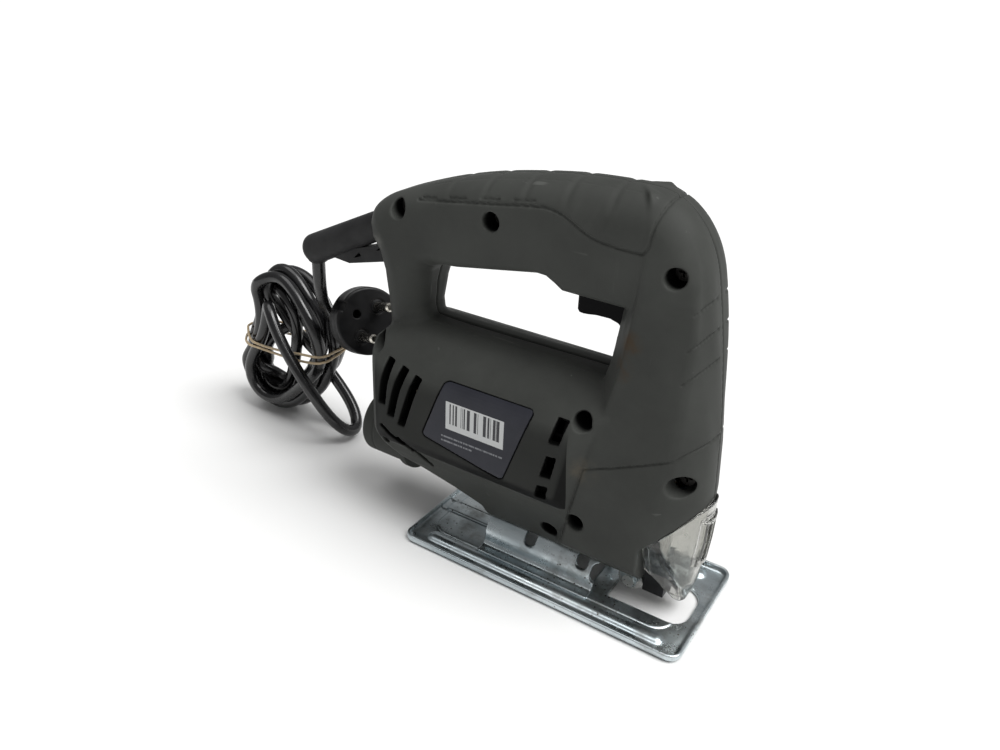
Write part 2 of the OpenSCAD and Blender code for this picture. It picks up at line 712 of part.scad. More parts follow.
module plunger() {
    color(steel) rod_z(plunger_z0, plunger_z1, plunger_r, plunger_x);
}
yoke_z = gear_z - crank_r;
module plunger_yoke() {
    color(steel) difference() {
        union() {
            block([yoke_x0, -17, yoke_z - 8.5], [yoke_x1, 17, yoke_z + 8.5]);
            block([yoke_x0, -6.5, yoke_z - 8.5], [plunger_x, 6.5, yoke_z + 8.5]);
        }
        block([yoke_x0 - past, -9.5, yoke_z - 4.2], [yoke_x1 - 1.2, 9.5, yoke_z + 4.2]);
        for (s = [-1, 1]) rod_x(yoke_x0 - past, yoke_x1 - 1.2, 4.2, s * 9.5, yoke_z);
        rod_z(yoke_z - 10, yoke_z + 10, plunger_r, plunger_x);
    }
}
module blade_clamp() {
    color(black) difference() {
        union() {
            block([plunger_x - 5.2, -4.2, 5], [plunger_x + 5.2, 4.2, 17.5]);
            block([plunger_x - 5.2, -5.8, 17.5], [plunger_x + 5.2, 5.8, 22]);
            rod_z(21, 24, 5.1, plunger_x);
        }
        rod_z(plunger_z0, 30, plunger_r, plunger_x);
        block([plunger_x - 4, -0.8, 4], [plunger_x + 4, 0.8, plunger_z0 + past]);
        for (z = [9, 18]) rod_x(plunger_x + 3.6, plunger_x + 8, 2.2, 0, z);
    }
}
module blade_clamp_screws() {
    color(steel) for (z = [9, 18]) difference() {
        rod_x(plunger_x + 4.7, plunger_x + 7, 2.15, 0, z);
        translate([plunger_x + 5.8, 0, z]) rotate([0, 90, 0]) cylinder(h = 3, r = 1.2, $fn = 6);
    }
}

// ---- Trigger and lock button ----

module trigger() {
    color(black) difference() {
        side_extrude(-8, 8) polygon([[-1.4, 151.5], [-1.4, 138.5], [0, 137], [14, 138], [18, 137.2],
            [21.5, 134], [23.8, 134.5], [23.8, 151.5]]);
        rod_z(143, 153, 4, 11);
    }
}
module trigger_spring() {
    color(steel) translate([11, 0, 143]) coil_spring(2.8, 0.4, 15.6, 5);
}
module lock_button() {
    color(black) {
        rod_y(13.9, 19.6, 4.3, 8, 166);
        rod_y(12.9, 13.9, 6, 8, 166);
    }
}

// ---- Guide roller ----

module roller_bracket() {
    color(steel) difference() {
        union() {
            block([roller_x - 6.5, -5.6, 15.8], [roller_x + 2.5, 5.6, 18.3]);
            for (s = [-1, 1]) side_extrude(s > 0 ? 4 : -5.6, s > 0 ? 5.6 : -4) {
                polygon([[roller_x - 6.5, 18.3], [roller_x + 2.5, 18.3], [roller_x + 4, roller_z],
                    [roller_x - 4, roller_z]]);
                translate([roller_x, roller_z]) circle(r = 4);
            }
        }
        rod_y(-10, 10, roller_pin_r, roller_x, roller_z);
        rod_y(-3.95, 3.95, roller_r + 0.4, roller_x, roller_z);
    }
}
module roller_pin() {
    color(steel) {
        rod_y(-6.4, 5.6, roller_pin_r, roller_x, roller_z);
        rod_y(-6.4, -5.6, 3, roller_x, roller_z);
    }
}
module guide_roller() {
    color(steel) translate([roller_x, 0, roller_z]) rotate([90, 0, 0]) difference() {
        rotate_extrude() polygon([[roller_pin_r + running_fit, -roller_half], [roller_r, -roller_half],
            [roller_r, -1.4], [roller_r - 1.6, 0], [roller_r, 1.4], [roller_r, roller_half],
            [roller_pin_r + running_fit, roller_half]]);
    }
}

// ---- Sole ----

module rounded_plan(x, y, r) {
    for (sx = [-1, 1]) for (sy = [-1, 1]) translate([sx * (x - r), sy * (y - r)]) circle(r = r);
    square([2 * (x - r), 2 * y], center = true);
    square([2 * x, 2 * (y - r)], center = true);
}
bead_y = 27;
bead_x0 = -64;
bead_x1 = 62;
bead_r = 2.6;
bead_top = 3;
module base_plate() {
    half_x = sole_length / 2;
    half_y = sole_width / 2;
    color(zinc) difference() {
        union() {
            plan_extrude(0, sheet) rounded_plan(half_x, half_y, 6);
            plan_extrude(0, rim_height) difference() {
                rounded_plan(half_x, half_y, 6);
                rounded_plan(half_x - 2.2, half_y - 2.2, 4);
            }
            for (s = [-1, 1]) {
                block([bead_x0, s * bead_y - bead_r, 0], [bead_x1, s * bead_y + bead_r, bead_top]);
                for (x = [bead_x0, bead_x1]) rod_z(0, bead_top, bead_r, x, s * bead_y);
            }
            block([-70, -4, 0], [arch_x0 - 1, 4, 2.6]);
        }
        plan_extrude(-past, 10) {
            translate([31, -opening_half]) square([30, 2 * opening_half]);
            translate([60, opening_half - 9]) circle(r = 9);
            translate([60, 9 - opening_half]) circle(r = 9);
            translate([60, 9 - opening_half]) square([9, 2 * opening_half - 18]);
        }
        for (x = [[-26, -3], [3, 21]]) block([x[0], -11, -past], [x[1], 11, 10]);
    }
}
module arch_ring(r0, r1, x0, x1, half_angle) {
    translate([0, 0, tilt_z]) front_extrude(x0, x1) ring_sector(r0, r1, half_angle, 90);
}
module tilt_bracket() {
    inner = arch_radius - arch_wall;
    color(zinc) difference() {
        union() {
            translate([0, 0, tilt_z]) front_extrude(arch_x0, arch_x1) difference() {
                circle(r = arch_radius);
                circle(r = inner);
                translate([-30, -60]) square([60, 60]);
            }
            for (s = [-1, 1]) {
                block([arch_x0, s > 0 ? inner : -arch_radius, sheet],
                    [arch_x1, s > 0 ? arch_radius : -inner, tilt_z]);
                block([arch_x0, s > 0 ? inner : -flange_y, sheet], [arch_x1, s > 0 ? flange_y : -inner, 3]);
            }
        }
        for (x = clamp_screw_x)
            arch_ring(inner - past, arch_radius + past, x - slot_half, x + slot_half, slot_angle);
    }
}
clamp_plate_r = arch_radius - arch_wall - 0.3;
module clamp_plate() {
    color(zinc) difference() {
        intersection() {
            rod_x(-22, 23, clamp_plate_r, 0, tilt_z);
            block([-30, -6, 16], [30, 6, 30]);
        }
        for (x = clamp_screw_x) rod_z(10, 30, 3.1, x);
    }
}
module base_clamp_screws() {
    color(steel) for (x = clamp_screw_x) difference() {
        union() {
            rod_z(16, 33.5, 3, x);
            rod_z(11, 16, 4.9, x);
        }
        translate([x, 0, 10]) cylinder(h = 4, r = 2.9, $fn = 6);
    }
}
module clamp_nuts() {
    color(steel) for (x = clamp_screw_x) difference() {
        translate([x, 0, 27]) cylinder(h = 5, r = 5.7, $fn = 6);
        rod_z(20, 40, 3.05, x);
    }
}

// ---- Cord ----

module power_cord() {
    color(black) route_tube(cord_route, cord_d / 2, cord_sides);
}
module hank_outline() {
    translate([-205, 36]) circle(r = 36);
    translate([-200, 65]) circle(r = 32);
    translate([-236, 36]) square([68, 30]);
    translate([-161, 12]) circle(r = 12);
    polygon([[-200, 60], [-173, 9.5], [-151.5, 19.5], [-168, 68]]);
}
module cord_hank() {
    color(black) side_extrude(hank_y0, hank_y1) hank_outline();
}
module hank_band() {
    color("#b9a27c") difference() {
        block([band_x0 - band_wall, hank_y0 - band_wall, band_z],
            [band_x1 + band_wall, hank_y1 + band_wall, band_z + band_height]);
        block([band_x0, hank_y0, band_z - past], [band_x1, hank_y1, band_z + band_height + past]);
    }
}
// Stands a shape on the plug's axis, +Z along the pins and +X along the pin row
module on_plug() {
    side = cross(plug_axis, pin_row);
    multmatrix([[pin_row[0], side[0], plug_axis[0], plug_face[0]],
        [pin_row[1], side[1], plug_axis[1], plug_face[1]],
        [pin_row[2], side[2], plug_axis[2], plug_face[2]]]) children();
}
module plug_body() {
    color(black) on_plug() difference() {
        union() {
            translate([0, 0, -16]) cylinder(h = 16, r = plug_d / 2);
            translate([0, 0, -22]) cylinder(h = 6, r = 11);
            translate([0, 0, -31]) cylinder(h = 9, r = 6);
        }
        for (s = [-1, 1]) {
            translate([-2.7, s > 0 ? plug_d / 2 - 2.6 : -plug_d / 2 - past, -12])
                cube([5.4, 2.6 + past, 20]);
        }
        translate([0, 8.5, -10]) cylinder(h = 12, r = 2.4);
    }
}
module plug_pins() {
    color(steel) on_plug() for (s = [-1, 1]) translate([s * pin_spacing / 2, 0, 0]) {
        cylinder(h = pin_length - 1.5, r = pin_d / 2);
        translate([0, 0, pin_length - 1.5]) cylinder(h = 1.5, r1 = pin_d / 2, r2 = pin_d / 2 - 0.8);
    }
}

right_shell();
left_shell();
right_label();
left_label();
housing_screws();
dust_port();
blade_guard();
switch_body();
capacitor();
cord_clamp();
cord_clamp_screws();
cord_sleeve();
key_holder();
stator_core();
field_coils();
brush_holders();
carbon_brushes();
brush_springs();
rear_bearing();
bearing_boot();
front_bearing();
gear_frame();
gear_frame_screws();
gear_axle();
upper_bush();
lower_bush();
dust_seal();
roller_bracket();
roller_pin();
base_clamp_screws();
clamp_plate();
clamp_nuts();
drive_gear();
crank_pin();
crank_roller();
armature_shaft();
armature_core();
armature_windings();
commutator();
cooling_fan();
plunger();
plunger_yoke();
blade_clamp();
blade_clamp_screws();
trigger();
trigger_spring();
lock_button();
guide_roller();
base_plate();
tilt_bracket();
power_cord();
cord_hank();
hank_band();
plug_body();
plug_pins();
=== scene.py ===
"""Looks of a jigsaw power tool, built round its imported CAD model. All sizes here are in millimetres unless a name says
metres; MM turns them into Blender's metres."""

import math

import bpy
import numpy as np
import openvdb as vdb
from mathutils import Matrix, Vector


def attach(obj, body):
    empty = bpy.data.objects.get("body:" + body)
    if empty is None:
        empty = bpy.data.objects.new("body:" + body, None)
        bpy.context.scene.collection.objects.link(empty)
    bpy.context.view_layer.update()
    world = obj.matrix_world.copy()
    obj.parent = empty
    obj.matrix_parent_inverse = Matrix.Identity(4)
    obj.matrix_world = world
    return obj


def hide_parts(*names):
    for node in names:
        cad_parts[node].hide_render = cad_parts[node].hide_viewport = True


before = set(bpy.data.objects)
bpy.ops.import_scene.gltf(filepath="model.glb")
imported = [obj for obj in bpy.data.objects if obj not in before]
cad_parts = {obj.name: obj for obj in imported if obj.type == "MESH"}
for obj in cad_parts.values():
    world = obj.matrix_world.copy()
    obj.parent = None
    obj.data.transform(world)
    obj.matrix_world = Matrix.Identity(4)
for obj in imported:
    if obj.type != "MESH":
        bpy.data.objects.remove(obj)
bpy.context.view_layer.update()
MM = 0.001
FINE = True


# ---------------------------------------------------------------- camera

CAMERA_AT = (147.2, -308.2, 281.4)
CAMERA_RIGHT = Vector((0.83946, 0.54203, 0.03887))
CAMERA_UP = Vector((-0.28159, 0.37270, 0.88420))
LENS = 30.6


def make_camera():
    data = bpy.data.cameras.new("camera")
    data.lens = LENS
    data.sensor_width = 36
    data.clip_start = 0.01
    cam = bpy.data.objects.new("camera", data)
    bpy.context.scene.collection.objects.link(cam)
    back = CAMERA_RIGHT.cross(CAMERA_UP).normalized()
    turn = Matrix((CAMERA_RIGHT.normalized(), back.cross(CAMERA_RIGHT).normalized(), back)).transposed()
    cam.matrix_world = Matrix.Translation(Vector(CAMERA_AT) * MM) @ turn.to_4x4()
    bpy.context.scene.camera = cam


make_camera()


# ---------------------------------------------------------------- materials


class Shader:
    """A node material, with short calls for the nodes that the finishes use."""

    def __init__(self, name):
        self.mat = bpy.data.materials.new(name)
        self.mat.use_nodes = True
        self.tree = self.mat.node_tree
        self.bsdf = next(n for n in self.tree.nodes if n.type == "BSDF_PRINCIPLED")
        self.coords = self.node("ShaderNodeTexCoord").outputs["Object"]

    def node(self, kind, **settings):
        made = self.tree.nodes.new(kind)
        for key, value in settings.items():
            setattr(made, key, value)
        return made

    def link(self, out, to):
        self.tree.links.new(out, to)

    def set(self, **values):
        for key, value in values.items():
            self.bsdf.inputs[key.replace("_", " ")].default_value = value

    def noise(self, scale, detail=4.0, rough=0.55, stretch=None, distortion=0.0):
        n = self.node("ShaderNodeTexNoise")
        n.inputs["Scale"].default_value = scale
        n.inputs["Detail"].default_value = detail
        n.inputs["Roughness"].default_value = rough
        n.inputs["Distortion"].default_value = distortion
        self.link(self.stretched(stretch), n.inputs["Vector"])
        return n.outputs["Fac"]

    def stretched(self, stretch):
        if stretch is None:
            return self.coords
        m = self.node("ShaderNodeMapping")
        m.inputs["Scale"].default_value = stretch
        self.link(self.coords, m.inputs["Vector"])
        return m.outputs["Vector"]

    def cells(self, scale, feature="F1", stretch=None):
        v = self.node("ShaderNodeTexVoronoi", feature=feature)
        v.inputs["Scale"].default_value = scale
        self.link(self.stretched(stretch), v.inputs["Vector"])
        return v.outputs["Distance"]

    def ramp(self, fac, *stops):
        r = self.node("ShaderNodeValToRGB")
        self.link(fac, r.inputs["Fac"])
        while len(r.color_ramp.elements) < len(stops):
            r.color_ramp.elements.new(0.5)
        for element, (at, value) in zip(r.color_ramp.elements, stops):
            element.position = at
            element.color = (value, value, value, 1) if isinstance(value, (int, float)) else (*value, 1)
        return r.outputs["Color"]

    def math(self, op, a, b=None, clamp=False):
        m = self.node("ShaderNodeMath", operation=op, use_clamp=clamp)
        for socket, value in zip(m.inputs, (a, b)):
            if value is None:
                continue
            if isinstance(value, (int, float)):
                socket.default_value = value
            else:
                self.link(value, socket)
        return m.outputs[0]

    def mix(self, fac, a, b):
        m = self.node("ShaderNodeMix", data_type="RGBA")
        for socket, value in zip((m.inputs[0], m.inputs[6], m.inputs[7]), (fac, a, b)):
            if isinstance(value, (int, float)):
                socket.default_value = value
            elif isinstance(value, tuple):
                socket.default_value = (*value, 1)
            else:
                self.link(value, socket)
        return m.outputs[2]

    def near(self, centre, radius):
        """1 at a point of the tool, falling to 0 at a distance; both in millimetres."""
        d = self.node("ShaderNodeVectorMath", operation="DISTANCE")
        self.link(self.coords, d.inputs[0])
        d.inputs[1].default_value = [c * MM for c in centre]
        m = self.node("ShaderNodeMapRange")
        m.inputs["From Min"].default_value = radius * MM
        m.inputs["From Max"].default_value = 0
        self.link(d.outputs["Value"], m.inputs["Value"])
        return m.outputs["Result"]

    def edge_wear(self, low, high):
        g = self.node("ShaderNodeNewGeometry")
        m = self.node("ShaderNodeMapRange")
        m.inputs["From Min"].default_value = low
        m.inputs["From Max"].default_value = high
        self.link(g.outputs["Pointiness"], m.inputs["Value"])
        return m.outputs["Result"]

    def bump(self, height, strength, distance, under=None):
        b = self.node("ShaderNodeBump")
        b.inputs["Strength"].default_value = strength
        b.inputs["Distance"].default_value = distance * MM
        self.link(height, b.inputs["Height"])
        if under is not None:
            self.link(under, b.inputs["Normal"])
        self.link(b.outputs["Normal"], self.bsdf.inputs["Normal"])
        return b.outputs["Normal"]

    def colour(self, out):
        self.link(out, self.bsdf.inputs["Base Color"])

    def rough(self, out):
        self.link(out, self.bsdf.inputs["Roughness"])


def hollow_shade_mask(s, shaded_pits, shaded_vents):
    """Painted shade: 1 inside the screw holes and the barrel's vents, just below the skin, where the colour is darkened
    to stand for shade; each screw is given as (x, z, skin's half width).
    """
    xyz = s.node("ShaderNodeSeparateXYZ")
    s.link(s.coords, xyz.inputs[0])
    x, y, z = (xyz.outputs[k] for k in "XYZ")
    side = s.math("ABSOLUTE", y)
    shade_mask = None
    for px, pz, half in shaded_pits:
        dx, dz = s.math("SUBTRACT", x, px * MM), s.math("SUBTRACT", z, pz * MM)
        off_axis = s.math("ADD", s.math("MULTIPLY", dx, dx), s.math("MULTIPLY", dz, dz))
        near_axis = s.math("LESS_THAN", off_axis, (5 * MM) ** 2)
        deep = s.math("MULTIPLY", s.math("SUBTRACT", (half - 1.2) * MM, side), 1 / (3.2 * MM), clamp=True)
        pit = s.math("MULTIPLY", near_axis, deep)
        shade_mask = pit if shade_mask is None else s.math("MAXIMUM", shade_mask, pit)
    over = s.math("MULTIPLY", s.math("MAXIMUM", s.math("SUBTRACT", z, 84 * MM), 0), 1 / (29.4 * MM))
    across = s.math("MULTIPLY", side, 1 / (31.4 * MM))
    inside = s.math("SUBTRACT", 1, s.math("ADD", s.math("MULTIPLY", over, over), s.math("MULTIPLY", across, across)))
    inside = s.math("MULTIPLY", inside, 12, clamp=True)
    for out, (low, high) in zip((x, z), shaded_vents):
        inside = s.math("MULTIPLY", inside, s.math("GREATER_THAN", out, low * MM))
        inside = s.math("MULTIPLY", inside, s.math("LESS_THAN", out, high * MM))
    return s.math("MAXIMUM", shade_mask, inside)


def moulded_plastic(name, colour, rough=0.5, grain=1.0, stains=(), shine=0.3, shaded_pits=(), shaded_vents=None):
    """Spark-eroded moulded plastic: fine grain, cloudy colour, rubbed streaks and a few scuffs; where screw holes and
    vents are given, their insides get painted shade, near black.
    """
    s = Shader(name)
    cloud = s.noise(35, 5)
    dark = tuple(c * 0.86 for c in colour)
    light = tuple(min(1, c * 1.16) for c in colour)
    base = s.mix(s.ramp(cloud, (0.32, 0), (0.72, 1)), dark, light)
    scratch = s.noise(260, 2, 0.5, (1, 1, 0.035))
    scratch_across = s.noise(240, 2, 0.5, (0.05, 1, 1))
    patches = s.ramp(s.noise(60, 3), (0.52, 0), (0.62, 1))
    lines = s.math("MAXIMUM", s.ramp(scratch, (0.70, 0), (0.74, 1)), s.ramp(scratch_across, (0.71, 0), (0.75, 1)))
    lines = s.math("MULTIPLY", lines, patches)
    base = s.mix(s.math("MULTIPLY", lines, 0.35), base, tuple(min(1, c * 2.4 + 0.02) for c in colour))
    for centre, radius, tint in stains:
        spot = s.math("MULTIPLY", s.near(centre, radius), s.ramp(s.noise(160, 5), (0.36, 0), (0.66, 1)), clamp=True)
        base = s.mix(spot, base, tint)
    worn = s.math("MULTIPLY", s.edge_wear(0.52, 0.60), s.ramp(s.noise(90, 4), (0.45, 0), (0.7, 1)), clamp=True)
    base = s.mix(s.math("MULTIPLY", worn, 0.45), base, tuple(min(1, c * 2.0 + 0.015) for c in colour))
    if shaded_pits:
        # Painted shade: near black colour inside the screw holes and behind the barrel's vents
        base = s.mix(s.math("MULTIPLY", hollow_shade_mask(s, shaded_pits, shaded_vents), 0.93), base, (0.002, 0.002, 0.002))
    s.colour(base)
    s.rough(s.ramp(s.noise(70, 4), (0.3, rough - 0.07), (0.7, rough + 0.08)))
    s.set(Specular_IOR_Level=shine)
    fine = s.bump(s.noise(2600, 2, 0.6), 0.35 * grain, 0.06)
    s.bump(s.math("ADD", lines, s.noise(30, 2)), 0.12, 0.25, fine)
    return s.mat


def zinc_plate(name):
    """Zinc plated pressed sheet: bluish, faintly streaked, with dark dirt and brown specks."""
    s = Shader(name)
    s.set(Metallic=1.0)
    streak = s.noise(60, 5, 0.6, (0.25, 1, 1))
    base = s.mix(s.ramp(streak, (0.3, 0), (0.7, 1)), (0.33, 0.385, 0.41), (0.74, 0.80, 0.82))
    dirt = s.ramp(s.noise(45, 6, 0.65), (0.52, 0), (0.70, 1))
    base = s.mix(s.math("MULTIPLY", dirt, 0.75), base, (0.13, 0.12, 0.10))
    specks = s.math("MULTIPLY", s.ramp(s.cells(420), (0.10, 1), (0.24, 0)), s.ramp(s.noise(38, 3), (0.50, 0), (0.60, 1)))
    base = s.mix(specks, base, (0.050, 0.034, 0.022))
    s.colour(base)
    polish = s.ramp(s.noise(90, 5, 0.6), (0.3, 0.20), (0.7, 0.42))
    s.rough(s.math("ADD", polish, s.math("MULTIPLY", specks, 0.4), clamp=True))
    s.bump(s.noise(180, 4, 0.6), 0.25, 0.10, s.bump(s.noise(1400, 2), 0.12, 0.02))
    return s.mat


def bright_steel(name, colour=(0.60, 0.60, 0.58), rough=0.3, grain=(1, 1, 1)):
    s = Shader(name)
    s.set(Metallic=1.0)
    lines = s.noise(700, 3, 0.6, grain)
    tarnish = s.ramp(s.noise(80, 5), (0.35, 0.0), (0.75, 1.0))
    base = s.mix(s.math("MULTIPLY", tarnish, 0.5), colour, tuple(c * 0.55 for c in colour))
    s.colour(base)
    s.rough(s.ramp(lines, (0.3, rough - 0.08), (0.7, rough + 0.14)))
    s.bump(lines, 0.12, 0.03)
    return s.mat


def black_rubber(name, colour=(0.010, 0.010, 0.011), rough=0.32, dust=0.3, shine=0.5):
    s = Shader(name)
    s.set(Specular_IOR_Level=shine)
    smear = s.ramp(s.noise(75, 4), (0.35, 0), (0.75, 1))
    base = s.mix(s.math("MULTIPLY", smear, dust), colour, tuple(c * 2.6 + 0.012 for c in colour))
    s.colour(base)
    s.rough(s.ramp(s.noise(130, 4), (0.3, rough - 0.08), (0.72, rough + 0.16)))
    s.bump(s.noise(900, 2), 0.10, 0.03)
    return s.mat


def clear_plastic(name):
    s = Shader(name)
    s.set(Transmission_Weight=1.0, IOR=1.46, Base_Color=(0.64, 0.64, 0.61, 1))
    haze = s.ramp(s.noise(120, 5, 0.6), (0.42, 0.05), (0.78, 0.34))
    s.rough(haze)
    s.bump(s.noise(300, 3, 0.6), 0.10, 0.05)
    return s.mat


def copper_wire(name, along):
    s = Shader(name)
    s.set(Metallic=0.85)
    strands = s.noise(900, 2, 0.5, along)
    s.colour(s.mix(s.ramp(strands, (0.35, 0), (0.6, 1)), (0.20, 0.062, 0.020), (0.62, 0.24, 0.09)))
    s.rough(s.ramp(s.noise(200, 3), (0.3, 0.28), (0.7, 0.45)))
    s.bump(strands, 0.5, 0.12)
    return s.mat


def laminated(name):
    s = Shader(name)
    s.set(Metallic=0.9)
    w = s.node("ShaderNodeTexWave", wave_type="BANDS", bands_direction="X")
    w.inputs["Scale"].default_value = 320
    w.inputs["Distortion"].default_value = 0.4
    s.link(s.coords, w.inputs["Vector"])
    s.colour(s.mix(w.outputs["Fac"], (0.10, 0.10, 0.105), (0.38, 0.38, 0.37)))
    s.rough(s.ramp(s.noise(300, 3), (0.3, 0.35), (0.7, 0.55)))
    s.bump(w.outputs["Fac"], 0.4, 0.08)
    return s.mat


def matt_solid(name, colour, rough, noise_scale, depth, metallic=0.0):
    """A plain material with cloudy colour and a soft or cast grain."""
    s = Shader(name)
    s.set(Metallic=metallic)
    cloud = s.noise(noise_scale, 5, 0.65)
    dark, light = tuple(c * 0.72 for c in colour), tuple(min(1, c * 1.2) for c in colour)
    s.colour(s.mix(s.ramp(cloud, (0.3, 0), (0.7, 1)), dark, light))
    s.rough(s.ramp(s.noise(noise_scale * 2, 3), (0.3, rough - 0.08), (0.7, rough + 0.08)))
    s.bump(s.noise(noise_scale * 6, 3), 0.35, depth)
    return s.mat


HOUSING = (0.047, 0.049, 0.0455)
RUST = (0.060, 0.034, 0.014)
# Clamshell screws: their place along x and z, and the housing's half width there; painted shade darkens the housing
# inside their holes
PITS = [(-90.8, 167, 15.5), (-40.2, 171.8, 18), (43.7, 166.8, 19), (-98, 101, 17), (15.6, 98.2, 28.5), (58.4, 77.2, 18),
        (15.7, 44.9, 25), (-0.6, 29.3, 21)]
# Marks on the housing: centre, radius and colour; the last, low at the front behind the bracket's slots, is a dusty
# tint made light enough to be painted light in the shade there
# Dusty beige, light enough to act as painted light behind the bracket's slots
DUST_AND_PAINTED_LIGHT = (0.17, 0.16, 0.135)
STAINS = [((30, -21, 137), 7, RUST), ((28, -22.5, 126), 7, RUST), ((18, -29, 74), 9, (0.10, 0.085, 0.062)),
          ((-104, -14, 150), 7, (0.13, 0.13, 0.12)), ((26, -14, 11), 12, DUST_AND_PAINTED_LIGHT)]
# The last two arguments place the painted shade: the screw holes, and the x and z span of the barrel's vents
housing_mat = moulded_plastic("housing_plastic", HOUSING, 0.50, 1.0, STAINS, 0.07, PITS, ((-96, 11), (51, 99.5)))
trigger_mat = moulded_plastic("black_nylon", (0.003, 0.003, 0.0032), 0.4, 0.5, (), 0.05)
zinc_mat = zinc_plate("zinc_sheet")
steel_mat = bright_steel("machined_steel")
ground_mat = bright_steel("ground_steel", (0.66, 0.66, 0.65), 0.2, (1, 1, 0.1))
screw_mat = bright_steel("screw_steel", (0.05, 0.048, 0.046), 0.5)
black_steel_mat = matt_solid("blackened_steel", (0.018, 0.018, 0.019), 0.42, 120, 0.08, 0.6)
cord_mat = black_rubber("cord_pvc", (0.0045, 0.0045, 0.005), 0.2, 0.25, 0.55)
sleeve_mat = black_rubber("sleeve_rubber", (0.014, 0.014, 0.0145), 0.46, 0.3, 0.14)
plug_mat = black_rubber("plug_pvc", (0.0045, 0.0045, 0.005), 0.42, 0.15, 0.25)
band_mat = matt_solid("tan_rubber", (0.46, 0.36, 0.23), 0.5, 300, 0.05)
clear_mat = clear_plastic("clear_guard")
pin_mat = bright_steel("nickel_pin", (0.72, 0.69, 0.62), 0.16, (1, 1, 1))
copper_mat = copper_wire("field_copper", (0.05, 1, 1))
winding_mat = copper_wire("armature_copper", (0.05, 1, 1))
bar_mat = copper_wire("commutator_copper", (1, 0.1, 0.1))
lamination_mat = laminated("laminated_steel")
bronze_mat = matt_solid("sintered_bronze", (0.50, 0.34, 0.14), 0.42, 220, 0.06, 0.9)
holder_mat = matt_solid("sooty_brass", (0.035, 0.026, 0.014), 0.5, 120, 0.03, 0.6)
cast_mat = matt_solid("cast_aluminium", (0.50, 0.51, 0.52), 0.45, 150, 0.10, 0.9)
carbon_mat = matt_solid("carbon", (0.020, 0.020, 0.022), 0.55, 300, 0.05)
film_mat = matt_solid("capacitor_dip", (0.42, 0.25, 0.04), 0.35, 60, 0.05)
# Clamp plate: a light dusty tint, so that in the shade inside the arch it looks lit through the slots; painted light
dusty_lit_mat = matt_solid("dusty_zinc_painted_light", (0.44, 0.425, 0.38), 0.6, 90, 0.06, 0.15)
felt_mat = matt_solid("felt", (0.60, 0.56, 0.46), 0.9, 500, 0.25)


# ---------------------------------------------------------------- signed distances

# Grid coordinates are in millimetres; every field is negative inside the solid.


def poly_distance(px, pz, points):
    """Signed distance from a closed outline, over broadcast coordinates."""
    px, pz = np.broadcast_arrays(px, pz)
    pts = np.asarray(points, np.float32)
    best = np.full(px.shape, 1e9, np.float32)
    inside = np.zeros(px.shape, bool)
    for (ax, az), (bx, bz) in zip(pts, np.roll(pts, -1, 0)):
        ex, ez = bx - ax, bz - az
        t = np.clip(((px - ax) * ex + (pz - az) * ez) / max(ex * ex + ez * ez, 1e-9), 0, 1)
        best = np.minimum(best, (px - ax - t * ex) ** 2 + (pz - az - t * ez) ** 2)
        crosses = (az > pz) != (bz > pz)
        if az != bz:
            inside ^= crosses & (px < (bx - ax) * (pz - az) / (bz - az) + ax)
    return np.where(inside, -1, 1).astype(np.float32) * np.sqrt(best)


def line_distance(px, pz, points):
    """Distance from an open line, over broadcast coordinates."""
    px, pz = np.broadcast_arrays(px, pz)
    best = np.full(px.shape, 1e9, np.float32)
    for (ax, az), (bx, bz) in zip(points, points[1:]):
        ex, ez = bx - ax, bz - az
        t = np.clip(((px - ax) * ex + (pz - az) * ez) / max(ex * ex + ez * ez, 1e-9), 0, 1)
        best = np.minimum(best, (px - ax - t * ex) ** 2 + (pz - az - t * ez) ** 2)
    return np.sqrt(best)


def curved(points, steps=6, closed=True):
    """A smooth line through the points, as Catmull-Rom pieces."""
    pts = [np.asarray(p, float) for p in points]
    n, out = len(pts), []
    for i in range(n if closed else n - 1):
        if closed:
            a, b, c, d = (pts[(i + k) % n] for k in (-1, 0, 1, 2))
        else:
            a, b, c, d = pts[max(i - 1, 0)], pts[i], pts[i + 1], pts[min(i + 2, n - 1)]
        for t in np.linspace(0, 1, steps, endpoint=False):
            square, cube = 2 * a - 5 * b + 4 * c - d, 3 * b - a - 3 * c + d
            out.append(0.5 * (2 * b + (c - a) * t + square * t * t + cube * t**3))
    if not closed:
        out.append(pts[-1])
    return np.array(out)


def extruded(outline, x, z):
    """Distance from a closed outline in the side view, the same at every y."""
    return poly_distance(x[:, 0], z[0], outline)[:, None, :]


def drawn(line, x, z):
    """Distance from an open line in the side view, the same at every y."""
    return line_distance(x[:, 0], z[0], line)[:, None, :]


def both(a, b, r=0.0):
    """Intersection of two solids, its edge rounded to r."""
    if r is None or (np.isscalar(r) and r <= 0):
        return np.maximum(a, b)
    p, q = a + r, b + r
    return np.hypot(np.maximum(p, 0), np.maximum(q, 0)) + np.minimum(np.maximum(p, q), 0) - r


def join(a, b, k=0.0):
    """Union of two solids with a fillet of about k."""
    if k <= 0:
        return np.minimum(a, b)
    h = np.clip(0.5 + 0.5 * (b - a) / k, 0, 1)
    return b * (1 - h) + a * h - k * h * (1 - h)


def cut(a, tool, r=0.0):
    return both(a, -tool, r)


def box_distance(x, y, z, low, high):
    gx, gy, gz = (np.maximum(lo - v, v - hi) for v, lo, hi in zip((x, y, z), low, high))
    return np.maximum(np.maximum(gx, gy), gz)


def carve(solid, surface, line, half_width, depth):
    """A groove of that half width and depth along a line drawn on the solid's skin."""
    groove = np.maximum(line - half_width, -surface - depth)
    return np.maximum(solid, -groove)


def lerp(v, at, values):
    return np.interp(v, at, values).astype(np.float32)


